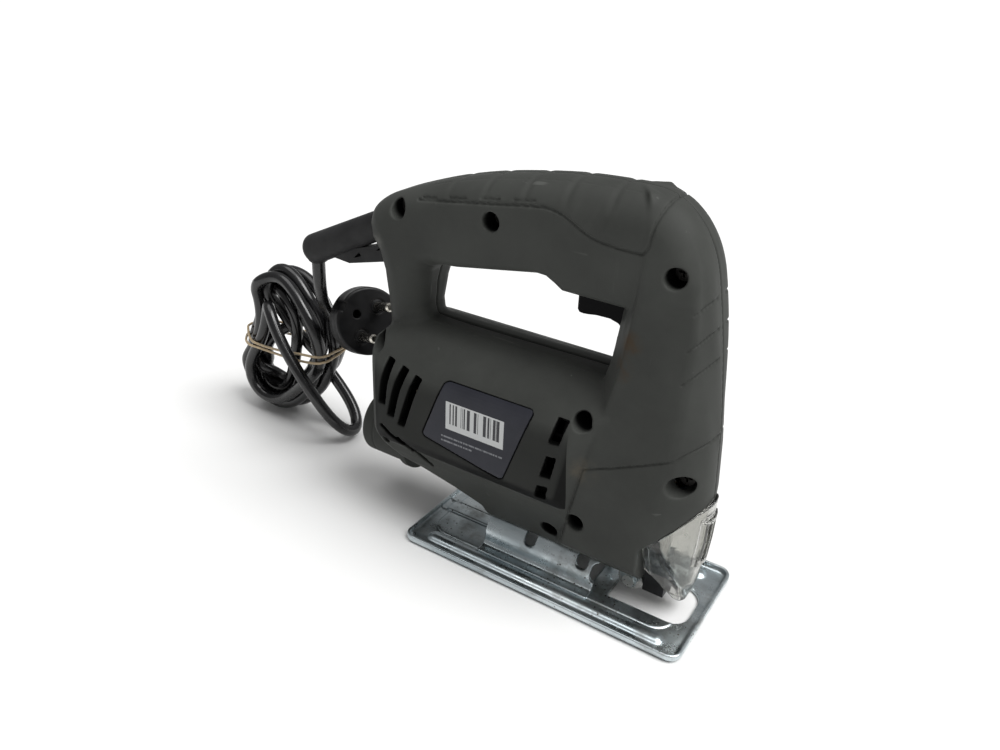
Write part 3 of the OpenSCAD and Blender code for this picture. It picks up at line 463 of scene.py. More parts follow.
def field_piece(name, low, high, step, field, material, tris=None, slot=None):
    """Meshes field(x, y, z) <= 0 inside a box, with normals from the field itself."""
    axes = [np.arange(lo, hi + step, step, dtype=np.float32) for lo, hi in zip(low, high)]
    x, y, z = axes[0][:, None, None], axes[1][None, :, None], axes[2][None, None, :]
    f = np.array(np.broadcast_to(field(x, y, z), tuple(len(a) for a in axes)), np.float32)
    f[[0, -1]] = np.maximum(f[[0, -1]], 0.2)
    f[:, [0, -1]] = np.maximum(f[:, [0, -1]], 0.2)
    f[:, :, [0, -1]] = np.maximum(f[:, :, [0, -1]], 0.2)
    grid = vdb.FloatGrid(3 * step)
    grid.copyFromArray(np.clip(f, -3 * step, 3 * step), tolerance=0.0)
    points, quads = grid.convertToQuads(isovalue=0.0)
    mesh = bpy.data.meshes.new(name)
    mesh.from_pydata([], [], [])
    points = points * step + np.array(low, np.float32)
    mesh.vertices.add(len(points))
    mesh.vertices.foreach_set("co", (points * MM).ravel().astype(np.float32))
    quads = np.ascontiguousarray(quads)
    mesh.loops.add(quads.size)
    mesh.loops.foreach_set("vertex_index", quads.ravel().astype(np.int32))
    mesh.polygons.add(len(quads))
    mesh.polygons.foreach_set("loop_start", np.arange(0, quads.size, 4, dtype=np.int32))
    mesh.update(calc_edges=True)
    obj = bpy.data.objects.new(name, mesh)
    bpy.context.scene.collection.objects.link(obj)
    if tris and 2 * len(quads) > tris:
        m = obj.modifiers.new("fewer", "DECIMATE")
        m.ratio = tris / (2 * len(quads))
        made = bpy.data.meshes.new_from_object(obj.evaluated_get(bpy.context.evaluated_depsgraph_get()))
        obj.modifiers.clear()
        obj.data = made
        mesh = made
        mesh.name = name
    co = np.zeros(len(mesh.vertices) * 3, np.float32)
    mesh.vertices.foreach_get("co", co)
    at = (co.reshape(-1, 3) / MM - np.array(low, np.float32)) / step
    slopes = [sampled(np.gradient(f, axis=k), at) for k in range(3)]
    normals = np.stack(slopes, 1)
    normals /= np.maximum(np.linalg.norm(normals, axis=1, keepdims=True), 1e-9)
    mesh.shade_smooth()
    mesh.normals_split_custom_set_from_vertices(normals.tolist())
    mesh.materials.append(material)
    print("piece", name, len(mesh.polygons), "faces")
    return obj


def sampled(volume, at):
    """Trilinear values of a volume at grid positions."""
    top = np.array(volume.shape) - 2
    i = np.clip(np.floor(at).astype(int), 0, top)
    t = np.clip(at - i, 0, 1)
    out = 0.0
    for dx in (0, 1):
        for dy in (0, 1):
            for dz in (0, 1):
                w = np.prod([t[:, k] if d else 1 - t[:, k] for k, d in enumerate((dx, dy, dz))], axis=0)
                out = out + w * volume[i[:, 0] + dx, i[:, 1] + dy, i[:, 2] + dz]
    return out


# ---------------------------------------------------------------- cord

CORD_R = 3.5
# The cord's route from the sleeve, through the turns of its tied bundle, to the back of the plug
CORD_ROUTE = [
    (-158.5, 0, 123), (-158.5, 0, 116), (-159.5, 1, 108), (-163, 5, 99), (-168, 12, 90), (-172, 21, 79), (-174, 30, 66),
    (-180, 36, 51), (-190, 39, 36), (-203, 38, 20), (-219, 36, 10), (-235, 35, 9), (-246, 34, 20), (-247, 34, 35),
    (-240, 34, 50), (-238, 34, 68), (-235, 35, 82), (-224, 37, 91), (-211, 38, 92), (-197, 36, 86), (-185, 32, 78),
    (-177, 29, 66), (-175, 27, 53), (-182, 25, 38), (-193, 26, 22), (-208, 28, 8), (-225, 29, 3.5), (-241, 28, 11),
    (-248, 27, 26), (-243, 26, 42), (-237, 28, 58), (-238, 30, 74), (-230, 30, 86), (-217, 29, 89), (-203, 26, 81),
    (-192, 23, 71), (-184, 21, 59), (-183, 20, 46), (-190, 21, 31), (-202, 22, 15), (-217, 22, 5), (-233, 21, 6),
    (-244, 20, 18), (-243, 19, 33), (-234, 19, 47), (-229, 20, 62), (-230, 21, 78), (-224, 22, 91), (-212, 22, 96),
    (-200, 19, 91), (-190, 16, 83), (-181, 14, 74), (-175, 14, 63), (-177, 16, 50), (-187, 18, 36), (-201, 17, 22),
    (-215, 15, 12), (-229, 14, 11), (-239, 14, 22), (-236, 14, 37), (-226, 15, 50), (-221, 16, 64), (-219, 17, 76),
    (-214, 12, 81), (-208, 8, 74), (-201, 6, 64), (-192, 5, 53), (-182, 5, 41), (-173, 7, 28), (-165, 11, 15),
    (-159, 18, 5.5), (-160, 27, 3.6), (-167, 33, 11), (-177, 34, 23), (-188, 33, 34), (-200, 31, 46), (-211, 30, 58),
    (-221, 27, 70), (-226, 25, 83), (-219, 25, 97), (-206, 26, 96), (-195, 25, 86), (-188, 26, 74), (-186, 29, 60),
    (-191, 31, 45), (-202, 31, 30), (-216, 32, 17), (-231, 30, 16), (-240, 24, 28), (-241, 26, 41), (-236, 27, 59),
    (-231, 27, 76), (-221, 24, 87), (-209, 23, 84), (-203, 23, 72), (-203, 24, 58), (-207, 25, 44), (-211, 25, 31),
    (-216, 26, 18), (-226, 27, 12), (-237, 26, 20), (-239, 25, 33), (-233, 24, 44), (-221, 26, 55),
    (-208, 33, 62), (-195, 38, 65), (-183, 38, 69), (-170, 33.3, 74.4),
]
CORD_STEP = 3.0


def even(line, step):
    """The line with points a step apart."""
    line = np.asarray(line, float)
    along = np.concatenate([[0], np.cumsum(np.linalg.norm(np.diff(line, axis=0), axis=1))])
    at = np.linspace(0, along[-1], max(2, round(along[-1] / step) + 1))
    return np.stack([np.interp(at, along, line[:, k]) for k in range(line.shape[1])], axis=1), along[-1]


def relaxed(line, fixed_ends=6, rounds=30, gap=2 * CORD_R, floor=CORD_R):
    """Pushes the line's turns apart until they lie side by side, keeping it smooth and off the floor."""
    line = line.copy()
    n = len(line)
    weight = np.ones((n, 1))
    weight[:fixed_ends] = 0
    weight[-fixed_ends:] = 0
    away = max(4, int(math.ceil(2.2 * gap / CORD_STEP)))
    index = np.arange(n)
    far = np.abs(index[:, None] - index[None, :]) > away
    for k in range(rounds):
        d = line[:, None] - line[None]
        dist = np.linalg.norm(d, axis=2)
        close = far & (dist < gap)
        push = np.where(close, (gap - dist) / np.maximum(dist, 0.3), 0)[:, :, None] * d
        count = np.maximum(close.sum(1), 1)[:, None]
        line += weight * 0.55 * push.sum(1) / count
        smooth = line.copy()
        smooth[1:-1] = (line[:-2] + 2 * line[1:-1] + line[2:]) / 4
        line += weight * 0.5 * (smooth - line)
        line[:, 2] = np.maximum(line[:, 2], floor)
    return line


def curve_piece(name, line, radius, material, sides=5):
    data = bpy.data.curves.new(name, "CURVE")
    data.dimensions = "3D"
    data.bevel_depth = radius * MM
    data.bevel_resolution = sides
    data.use_fill_caps = True
    spline = data.splines.new("POLY")
    spline.points.add(len(line) - 1)
    spline.points.foreach_set("co", np.c_[np.asarray(line) * MM, np.ones(len(line))].ravel())
    spline.use_smooth = True
    obj = bpy.data.objects.new(name, data)
    bpy.context.scene.collection.objects.link(obj)
    data.materials.append(material)
    return obj


cord_line, cord_long = even(curved(CORD_ROUTE, 8, False), CORD_STEP)
cord_line = relaxed(cord_line)
cord_line, cord_long = even(curved(cord_line, 2, False), 2.0)
cord = curve_piece("mains_cord", cord_line, CORD_R, cord_mat)
print("cord length", round(cord_long))
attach(cord, "tool")
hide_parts("power_cord", "cord_hank")


# ---------------------------------------------------------------- housing shape

TOP = [(-112.5, 157), (-110, 164), (-103.5, 169.5), (-95, 173.5), (-83, 178), (-68, 183), (-51, 187.5), (-33, 191),
       (-10, 194.3), (10, 195.5), (26, 195.5), (36, 193), (44, 187), (50, 179), (54, 170), (57, 158), (61, 138),
       (64.5, 115), (67.5, 95), (69, 80), (70, 66)]
SLAB = curved(TOP, 4, False).tolist() + [(60, 62), (-60, 62), (-100, 88), (-107, 96), (-106.3, 108), (-105.5, 120),
                                         (-105.8, 134), (-107.5, 142), (-111.5, 149)]
COLUMN_SIDE = curved(TOP, 4, False).tolist() + [(72, 50), (72, 5), (-112, 5)]
WINDOW = [(-79.5, 113), (-81, 119), (-80, 131), (-78.3, 138), (-76, 141.5), (-71, 143.6), (-40, 149.2), (-18, 153.2),
          (-13.5, 153), (-9, 150.6), (-5.5, 148.3), (24, 148.2), (24, 112), (-60, 110)]
BARREL_HALF = 32.0
BARREL_SECTION = [(0, 114.6), (5, 114.4), (7.6, 113.7)] + [
    (32 * math.sin(a), 84 + 30 * math.cos(a)) for a in np.radians(np.linspace(16, 90, 20))] + [
    (32, 57.5), (31.2, 55.4), (26.8, 49.2), (25.6, 45), (12.6, 17.6), (0, 17.6)]
BARREL_SIDE = [(-107, 92), (-104.5, 101), (-98, 109), (-86, 116), (30, 118), (30, 10), (-42, 10), (-44.5, 20.6),
               (-58, 27), (-75, 33), (-88, 36), (-99, 45), (-105.3, 58), (-107, 74)]
# Rear ridge of the column's flank, by height: its place along x and its half width
RIDGE_Z = [18, 30, 50, 73, 81, 123, 155, 172, 190]
RIDGE_X = [8, 9.5, 12.5, 16, 18.2, 27.6, 30.7, 30.7, 30]
RIDGE_W = [24.5, 25.5, 26.5, 26.3, 26, 23, 20.6, 19.3, 16]
# Front crease of the flank, by height, and the front face's place at the middle plane
CREASE_Z = [18, 45, 70, 91, 131, 157, 171, 180, 188, 196]
CREASE_X = [50, 51.5, 53, 54.8, 55.6, 54.5, 53, 50, 45, 36]
CREASE_W = [21.5, 22, 22, 21, 19, 17, 14.2, 13, 11.5, 5]
NOSE_X = [66, 69, 69.7, 67.9, 62.4, 57.3, 53.7, 49.2, 43.2, 30]
PLUNGER_X = 49.5
SADDLE_R = 16.8
TILT_Z = 4.0
PORT_Z = 41.0
COUNTERBORE = 4.3
GRIP_LINE = [(-80, 173.2), (-60, 176.4), (-36, 180), (-19, 182.4), (-12, 182.6), (-5, 181), (2, 177.4), (8, 175),
             (16, 173.7), (27, 173.2), (30.2, 174), (31.6, 177), (32.4, 184), (34, 191), (36.5, 197)]
DASHES = [((-78, 174.6), (-70, 175.9)), ((-63, 177.4), (-54, 178.9)), ((-46, 180.3), (-37, 181.7)),
          ((-30, 182.7), (-20, 184.2))]
SEAM_LINE = [(6.5, 24), (9.5, 34), (17, 74.6), (36, 82.5), (54.5, 90), (58, 93), (66, 98), (72, 100)]
NOSE_GROOVES = [((53, 154), (63, 165)), ((53, 139), (64, 151)), ((53, 125), (66, 138))]
# Centre line of each rear vent, past both of its squared ends, and the heights of the ends
REAR_VENTS = [(((-86, 99), (-90, 84.5), (-92, 69)), 96, 72.5), (((-76.2, 99), (-82.8, 82), (-87.3, 63)), 96.2, 67),
              (((-67.2, 99), (-74.2, 81.5), (-81.2, 60)), 96, 63.9)]
FRONT_VENTS = [((4.8, 97.4), (10, 97.4), (6.8, 85.2), (1.9, 84.5)),
               ((1.5, 77.6), (6.1, 78.1), (3.9, 66.7), (-1.2, 66.2)), ((-2.1, 60.8), (3, 61.5), (1.8, 54.3), (-3.6, 53.6))]
LOW_VENTS = [((-92, 60), (-76, 49.5)), ((-82, 55.5), (-65, 44))]
LABEL = [(-54.6, 97), (-6.2, 97.2), (-20.8, 55), (-67.8, 63.4)]
LABEL_DEPTH = 1.7


def housing(x, y, z):
    """The closed outer form of the housing, for y on either side of the parting plane."""
    a = np.abs(y)
    outline = extruded(SLAB, x, z)
    window = extruded(WINDOW, x, z)
    # Handle, rear pillar and the slab behind the column
    edge = lerp(z, [100, 150, 165, 196], [13, 12.5, 13, 15])
    crown = 18.0 - 1.0 * ((z - 167) / 24) ** 2
    slab = both(outline, a - crown, edge)
    inner = lerp(x, [-84, -74, -60, 20], [11, 9.5, 6, 4.5]) + 0 * z
    slab = both(slab, -window, 0)
    q1, q2 = inner - window, a - (crown - inner)
    slab = np.maximum(slab, np.hypot(np.maximum(q1, 0), np.maximum(q2, 0)) + np.minimum(np.maximum(q1, q2), 0) - inner)
    # Motor barrel, ending in a slanted chamfer at the column
    section = poly_distance(a[0], z[0], BARREL_SECTION)[None, :, :]
    side = extruded(BARREL_SIDE, x, z)
    rear = np.sqrt(np.maximum(1 - (np.minimum(x + 91.4, 0) / 15.8) ** 2, 0)) * BARREL_HALF
    plan = (a - rear) * 0.85 + 0 * z
    plan = np.where(x < -107.2, 5, plan)
    barrel = both(both(section, side, 7), plan, 4)
    front = lerp(z, [50, 57, 92, 104, 113], [3.8, 4.4, 11, 17, 25])
    barrel = both(barrel, (x - front) * 0.6 + (a - BARREL_HALF) * 0.8, 1.2)
    barrel = both(barrel, x - 30 + 0 * a, 0)
    # Front column
    rx, rw = lerp(z, RIDGE_Z, RIDGE_X), lerp(z, RIDGE_Z, RIDGE_W)
    cx, cw = lerp(z, CREASE_Z, CREASE_X), lerp(z, CREASE_Z, CREASE_W)
    nose = lerp(z, CREASE_Z, NOSE_X)
    part = (x - rx) / np.maximum(cx - rx, 4)
    bulge = 1.3 * np.sin(np.pi * np.clip(part, 0, 1))
    flank = (a - (rw + (cw - rw) * part + bulge)) * 0.97
    face = (x - (nose - (nose - cx) * (a / cw) ** 2)) * 0.9
    back = (rx - x) * 0.8 + (a - rw) * 0.6
    top = extruded(COLUMN_SIDE, x, z)
    column = both(both(flank, face, 1.6), top, lerp(z, [120, 165, 188], [3, 6, 13]))
    column = both(column, np.maximum(back, rx - 9 - x), 1.2)
    column = both(column, 17.6 - z, 1.5)
    column = cut(column, np.maximum(46 - x, (z - 41 - 1.06 * (x - 46)) * 0.69), 0.6)
    whole = join(join(slab, barrel, 3.5), column, 1.5)
    # Clearances: the saddle on the tilt bracket, and the tilted sole
    saddle = np.maximum(np.hypot(y, z - TILT_Z) - SADDLE_R, np.maximum(-41 - x, x - 27))
    whole = cut(whole, saddle, 0.5)
    return both(whole, (a + 4.9 - z) * 0.707 + 0 * x, 1.0)


def cavities(x, y, z):
    """The hollows that the moving parts and the motor sit in."""
    a = np.abs(y)
    r = np.hypot(y, z - 80)
    motor = np.maximum(r - 27, np.maximum(-80 - x, x - 9.5))
    motor = np.minimum(motor, np.maximum(r - 12, np.maximum(-97 - x, x + 79)))
    motor = np.minimum(motor, np.maximum(r - 10, np.maximum(8 - x, x - 22)))
    motor = np.minimum(motor, box_distance(x, a, z, (-75, -1, 72), (-61, 29.5, 88)))
    gears = box_distance(x, a, z, (21, -1, 56), (38, 21.6, 98))
    gears = np.minimum(gears, box_distance(x, a, z, (21, -1, 97), (38, 17.3, 110)))
    gears = np.minimum(gears, np.maximum(np.hypot(y, z - 103.8) - 22.0, np.maximum(30 - x, x - 37.6)))
    gears = np.minimum(gears, box_distance(x, a, z, (37.5, -1, 56), (45.6, 18, 123)))
    gears = np.minimum(gears, box_distance(x, a, z, (26.3, -1, 100), (57.8, 9.7, 141)))
    gears = np.minimum(gears, box_distance(x, a, z, (38, -1, 56), (57.8, 9.7, 125)))
    plunger = np.hypot(x - PLUNGER_X, y)
    gears = np.minimum(gears, np.maximum(plunger - 4.7, np.maximum(16 - z, z - 161)))
    gears = np.minimum(gears, box_distance(x, a, z, (42.5, -1, 5), (57, 8, 43)))
    switch = box_distance(x, a, z, (-16, -1, 157.5), (26, 14.2, 179))
    switch = np.minimum(switch, box_distance(x, a, z, (-1.8, -1, 130), (24.2, 8.4, 160)))
    port = np.maximum(np.hypot(y, z - PORT_Z) - 17.7, x + 88)
    return [motor, gears, switch, port]


def offset_outline(outline, x, z, radius, shrink=0.0):
    """Distance from an outline with its corners rounded to a radius, and moved inwards by shrink."""
    pts = np.asarray(outline, float)
    edges = np.roll(pts, -1, 0) - pts
    area = np.sum(pts[:, 0] * np.roll(pts[:, 1], -1) - np.roll(pts[:, 0], -1) * pts[:, 1])
    out = np.sign(area) * np.stack([edges[:, 1], -edges[:, 0]], 1) / np.linalg.norm(edges, axis=1, keepdims=True)
    solid = None
    for p, n in zip(pts, out):
        side = (x - p[0]) * n[0] + (z - p[1]) * n[1]
        solid = side if solid is None else both(solid, side, radius)
    return solid + shrink


def detailed(x, y, z):
    """The housing with its grooves, seams and hollows, without the features that differ from side to side."""
    a = np.abs(y)
    skin = housing(x, y, z)
    solid = skin
    grip = drawn(curved(GRIP_LINE, 6, False), x, z)
    solid = carve(solid, skin, grip, 0.55, 0.8)
    panel = extruded(curved(GRIP_LINE, 6, False).tolist() + [(36.5, 205), (-86, 205), (-86, 172)], x, z)
    inside = np.clip(-panel / 2.0, 0, 1)
    high = np.clip((z - lerp(x, [-80, 35], [175, 187])) / 5, 0, 1)
    scallop = np.clip(1 - np.abs(((x + 6) / 19.5 + 0.5) % 1 - 0.5) * 19.5 / 2.4, 0, 1) * high
    solid = solid + inside * 0.55 * scallop * np.clip((x + 70) / 6, 0, 1) * np.clip((22 - x) / 5, 0, 1)
    thumb = np.clip(np.cos((x - 0.45 * z) * (2 * np.pi / 8.5)) - 0.2, 0, 1)
    thumb = thumb * np.clip((x + 6) / 4, 0, 1) * np.clip((24 - x) / 5, 0, 1)
    solid = solid - inside * 0.3 * thumb * np.clip((z - 176) / 4, 0, 1) * np.clip((190 - z) / 5, 0, 1)
    for dash in DASHES:
        solid = carve(solid, skin, drawn(dash, x, z), 0.45, 0.7)
    seam = drawn(SEAM_LINE, x, z)
    solid = carve(solid, skin, seam, 0.5, 0.8)
    for groove in NOSE_GROOVES:
        near_front = np.maximum(drawn(groove, x, z) - 0.45, 4 - a)
        solid = np.maximum(solid, -np.maximum(near_front, -skin - 0.7))
    crease = np.maximum(np.abs(a - 8.2) - 0.35, np.maximum(-76 - x, x - 22))
    solid = np.maximum(solid, -np.maximum(np.maximum(crease, 108 - z), -skin - 0.25))
    for hollow in cavities(x, y, z):
        solid = cut(solid, hollow, 0.3)
    return solid


def shell(side):
    """The right shell for side -1 and the left one for +1; the right one has the screws' counterbores."""

    def field(x, y, z):
        a = np.abs(y)
        solid = detailed(x, y, z)
        skin = housing(x, y, z)
        for vent, top, foot in REAR_VENTS:
            d = drawn(curved(vent, 8, False), x, z) - 2.1
            d = both(d, np.maximum(z - top + 0.25 * (x + 78), foot - z), 0.6)
            solid = cut(solid, np.maximum(d, 19 - a), 0.6)
        for vent in FRONT_VENTS:
            d = extruded(vent, x, z) - 0.2
            solid = cut(solid, np.maximum(d, 23.5 - a), 0.3)
        for vent in LOW_VENTS:
            d = drawn(vent, x, z) - 1.1
            solid = cut(solid, np.maximum(np.maximum(d, 20 - a), -skin - 6), 0.3)
        hole = np.hypot(x + 92.5, z - 50) - 2.2
        solid = cut(solid, np.maximum(np.maximum(hole, 12 - a), -skin - 6), 0.3)
        recess = np.maximum(np.maximum(offset_outline(LABEL, x, z, 3.2), 20 - a), -skin - LABEL_DEPTH)
        solid = np.maximum(solid, -recess)
        for sx, sz, _ in PITS:
            r = np.hypot(x - sx, z - sz)
            if side < 0:
                wide = COUNTERBORE + (1.0 if sx > 50 else 0)
                solid = cut(solid, np.maximum(r - wide, 6 - a), 0.9)
        if side > 0:
            solid = cut(solid, np.maximum(np.hypot(x - 8, z - 166) - 4.6, 13 - a), 0.5)
        seam = np.maximum(0.04 - side * y, (skin + 0.6 - a) * 0.707)
        return np.maximum(solid, seam)

    return field


STEP = 0.6 if FINE else 1.0
SHELL_TRIS = 190000 if FINE else 120000
right = field_piece("right_housing", (-116, -34.2, 14), (73, 1.2, 198), STEP, shell(-1), housing_mat, SHELL_TRIS)
left = field_piece("left_housing", (-116, -1.2, 14), (73, 34.2, 198), STEP, shell(1), housing_mat, SHELL_TRIS)
for piece, node in ((right, "right_shell"), (left, "left_shell")):
    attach(piece, "tool")
    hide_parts(node)



# ---------------------------------------------------------------- parts on the housing


def place(obj, body, slot, *nodes):
    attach(obj, body)
    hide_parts(*nodes)
    return obj


def label_film(name):
    """Dark blue-grey film with a white block of bars and two thin grey rules."""
    s = Shader(name)
    xyz = s.node("ShaderNodeSeparateXYZ")
    s.link(s.coords, xyz.inputs[0])

    def within(out, low, high):
        above = s.math("GREATER_THAN", out, low * MM)
        return s.math("MULTIPLY", above, s.math("LESS_THAN", out, high * MM))

    x, z = xyz.outputs["X"], xyz.outputs["Z"]
    base = s.mix(s.ramp(s.noise(60, 4), (0.3, 0), (0.7, 1)), (0.018, 0.019, 0.026), (0.026, 0.027, 0.036))
    block = s.math("MULTIPLY", within(x, -53, -21), within(z, 72.3, 87))
    bars = s.math("MULTIPLY", within(x, -51.6, -22.4), within(z, 75.4, 86.2))
    wide = s.math("GREATER_THAN", s.noise(560, 0, 0.5, (1, 0, 0)), 0.52)
    thin = s.math("GREATER_THAN", s.noise(1300, 0, 0.5, (1, 0, 0)), 0.60)
    ink = s.math("MULTIPLY", bars, s.math("MAXIMUM", wide, thin))
    base = s.mix(block, base, (0.52, 0.53, 0.53))
    base = s.mix(ink, base, (0.045, 0.045, 0.05))
    rule = s.math("MULTIPLY", within(x, -55.5, -21), within(z, 67.3, 68.2))
    rule = s.math("MAXIMUM", rule, s.math("MULTIPLY", within(x, -55.5, -38), within(z, 64.9, 65.8)))
    rule = s.math("MULTIPLY", rule, s.math("GREATER_THAN", s.noise(1500, 1, 0.5, (1, 0, 0)), 0.45))
    base = s.mix(s.math("MULTIPLY", rule, 0.55), base, (0.33, 0.34, 0.36))
    s.colour(base)
    s.rough(s.ramp(s.noise(150, 4), (0.3, 0.34), (0.7, 0.48)))
    s.bump(s.noise(500, 3), 0.06, 0.03)
    s.set(Specular_IOR_Level=0.2)
    return s.mat


label_mat = label_film("label_film")
plain_label_mat = matt_solid("label_plain", (0.042, 0.043, 0.055), 0.42, 60, 0.02)
FINE_STEP = 0.4 if FINE else 0.6
for side, node, material in ((-1, "right_label", label_mat), (1, "left_label", plain_label_mat)):

    def label_field(x, y, z):
        skin = housing(x, y, z)
        plate = both(offset_outline(LABEL, x, z, 3.0, 0.55), skin + 0.35, 0.25)
        return np.maximum(plate, np.maximum(-skin - LABEL_DEPTH + 0.05, 20 - np.abs(y)))

    low, high = (-70, min(side * 26, side * 33.5), 52), (-4, max(side * 26, side * 33.5), 100)
    plate = field_piece(node.replace("_label", "_rating_plate"), low, high, FINE_STEP, label_field, material, 60000)
    place(plate, "tool", "label", node)


def port_field(x, y, z):
    r = np.hypot(y, z - PORT_Z)
    tube = both(r - 17.5, -118 - x, 2.6)
    tube = both(tube, x + 88 + 0 * r, 0)
    flange = np.maximum(r - 19, np.maximum(-92 - x, x + 88))
    ring = np.maximum(np.abs(r - 17.5) - 0.35, np.abs(x + 110) - 0.4)
    return cut(cut(np.minimum(tube, flange), ring), np.maximum(r - 15.25, x + 91), 0.5)


port = field_piece("dust_outlet", (-120, -20.5, 20.5), (-86, 20.5, 61.5), FINE_STEP, port_field, housing_mat, 60000)
place(port, "tool", "housing", "dust_port")

SLEEVE = ((-100, 0, 158.5), (-158.5, 0, 129.5))


def sleeve_field(x, y, z):
    (ax, _, az), (bx, _, bz) = SLEEVE
    long = math.hypot(bx - ax, bz - az)
    ux, uz = (bx - ax) / long, (bz - az) / long
    t = (x - ax) * ux + (z - az) * uz
    off = np.hypot((x - ax) * -uz + (z - az) * ux, y)
    body = both(off - lerp(t, [0, 20, long], [7.0, 7.3, 7.9]), t - long - 5.5, 4.5)
    body = both(body, -0.5 - t, 0)
    stub = both(np.hypot(x - bx, y) - 5.0, np.maximum(122.4 - z, z - 130), 1.4)
    whole = join(body, stub, 1.4)
    flange = np.maximum(off - 8.4, np.maximum(-0.8 - t, t - 3.8))
    whole = np.minimum(whole, flange)
    whole = cut(whole, np.maximum(np.hypot(y, z - 151) - 12, -100 - x))
    return cut(whole, box_distance(x, np.abs(y), z, (-110, -1, 138), (-89.8, 11, 152.6)))


sleeve = field_piece("cord_boot", (-170, -10, 118), (-92, 10, 168), FINE_STEP, sleeve_field, sleeve_mat, 70000)
place(sleeve, "tool", "rubber_black", "cord_sleeve")

TRIGGER = [(-1.4, 151.5), (-1.4, 139.2), (-0.4, 137.8), (2, 137.5), (8, 138.4), (14, 138.5), (18, 137.4), (21.2, 134.4),
           (22.6, 134.2), (23.5, 135.2), (23.6, 151.5)]


def trigger_field(x, y, z):
    body = both(extruded(TRIGGER, x, z), np.abs(y) - 8.0, 1.6)
    for k in range(5):
        groove = np.hypot(x - (2.5 + 3.6 * k), z - lerp(x, [0, 8, 16, 20], [137.3, 138, 137.8, 135.4]) + 0.2) - 0.55
        body = cut(body, groove, 0.2)
    return cut(body, np.maximum(np.hypot(x - 11, y) - 4, 143 - z))


trigger = field_piece("trigger_key", (-3.5, -10, 132), (26, 10, 154), FINE_STEP, trigger_field, trigger_mat, 40000)
place(trigger, "trigger_button", "black_plastic", "trigger")

GUARD_SIDE = [(46.4, 41.6), (70.8, 67.4), (72, 66), (70.8, 46), (69.6, 34), (67.6, 18), (65, 8.5), (63, 6.6),
              (59.5, 6.6), (46.4, 25)]


def guard_field(x, y, z):
    a = np.abs(y)
    cx, cw = lerp(z, [5, 18, 45, 70], [47, 50, 51.5, 53]), lerp(z, [5, 18, 45, 70], [14, 19.5, 22, 22])
    nose = lerp(z, [5, 20, 45, 68], [65, 68.4, 70, 70.4])
    face = (x - (nose - (nose - cx) * (a / cw) ** 2)) * 0.8
    wall = both((a - lerp(z, [6, 24, 44, 66], [3.4, 12.6, 20.5, 23.5])) * 0.88, a - (26.6 - 0.115 * (x - 13)), 3)
    form = both(wall, face, 2.5)
    shell_ = both(form, -form - 1.7, 0.4)
    side = extruded(GUARD_SIDE, x, z)
    guard = both(shell_, side, 0.7)
    # A thicker lip along the rear edges and the foot, and the frame round the front slots
    lip = both(both(form, -form - 2.7, 0.4), both(side, np.minimum(x - 49.4, np.maximum(z - 10.5, 48 - x)), 0.5), 0.5)
    frame_ = both(both(form - 0.8, -form - 2.0, 0.3), box_distance(x, a, z, (60, -1, 31.5), (80, 6.6, 57.5)), 0.5)
    guard = np.minimum(np.minimum(guard, both(lip, side, 0.3)), frame_)
    for y0 in (-3.4, 0, 3.4):
        guard = cut(guard, box_distance(x, y, z, (58, y0 - 0.95, 34.5), (80, y0 + 0.95, 54.5)), 0.3)
    return guard


guard = field_piece("clear_blade_guard", (44, -25, 4), (74, 25, 70), FINE_STEP, guard_field, clear_mat, 110000)
place(guard, "tool", "clear_plastic", "blade_guard")

# ---------------------------------------------------------------- sole

HALF_X, HALF_Y = 75.5, 36.0


def rounded_box(x, y, hx, hy, r):
    qx, qy = np.abs(x) - hx + r, np.abs(y) - hy + r
    return np.hypot(np.maximum(qx, 0), np.maximum(qy, 0)) + np.minimum(np.maximum(qx, qy), 0) - r


def sole_field(x, y, z):
    edge = rounded_box(x, y, HALF_X, HALF_Y, 6)
    outer = both(edge, -z + 0 * edge, 2.0)
    floor_top = z - 1.5
    wall = both(-edge - 1.5, -floor_top, 0)
    inner = edge + 1.7
    bowl = both(inner, -floor_top, 1.8)
    rim = cut(both(outer, z - 4.0 + 0 * edge, 0.7), bowl, 0.4)
    bead_half = 65
    bead = np.hypot(np.maximum(np.abs(x) - bead_half + 3.4, 0), np.abs(y) - 26.6)
    bead = np.hypot(bead / 3.4, np.maximum(z - 1.2, 0) / 1.9) - 1
    plate = join(rim, np.maximum(bead * 1.9, -z + 0.3), 0.8)
    raised = both(rounded_box(x + 57, y, 13.5, 4.2, 1.2), z - 2.7 + 0 * edge, 0.8)
    plate = join(plate, np.maximum(raised, -z + 0.3), 0.5)
    pad = both(rounded_box(x + 2, y, 66, 21.5, 9), z - 1.95 + 0 * edge, 0.5)
    plate = join(plate, np.maximum(pad, -z + 0.3), 0.8)
    slot_line = np.maximum(np.abs(np.abs(y) - 4.6) - 0.35, np.maximum(-74 - x, x + 44))
    plate = cut(plate, np.maximum(slot_line, 1.1 - z), 0.2)
    hole = both(x * 0 + np.abs(y) - 14, 31 - x, 1.5)
    hole = both(hole, np.hypot(np.maximum(x - 60, 0), np.maximum(np.abs(y) - 5, 0)) - 9.2, 0)
    plate = cut(plate, hole + 0 * z, 0.35)
    for x0, x1 in ((-26, -3), (3, 21)):
        plate = cut(plate, np.maximum(np.abs(y) - 11, np.maximum(x0 - x, x - x1)) + 0 * z, 0.3)
    return np.maximum(plate, -z + 0 * edge)


SOLE_STEP = 0.45 if FINE else 0.7
sole = field_piece("pressed_sole", (-77.5, -38, -1.5), (77.5, 38, 6.5), SOLE_STEP, sole_field, zinc_mat, 190000)
place(sole, "base", "zinc_steel", "base_plate")


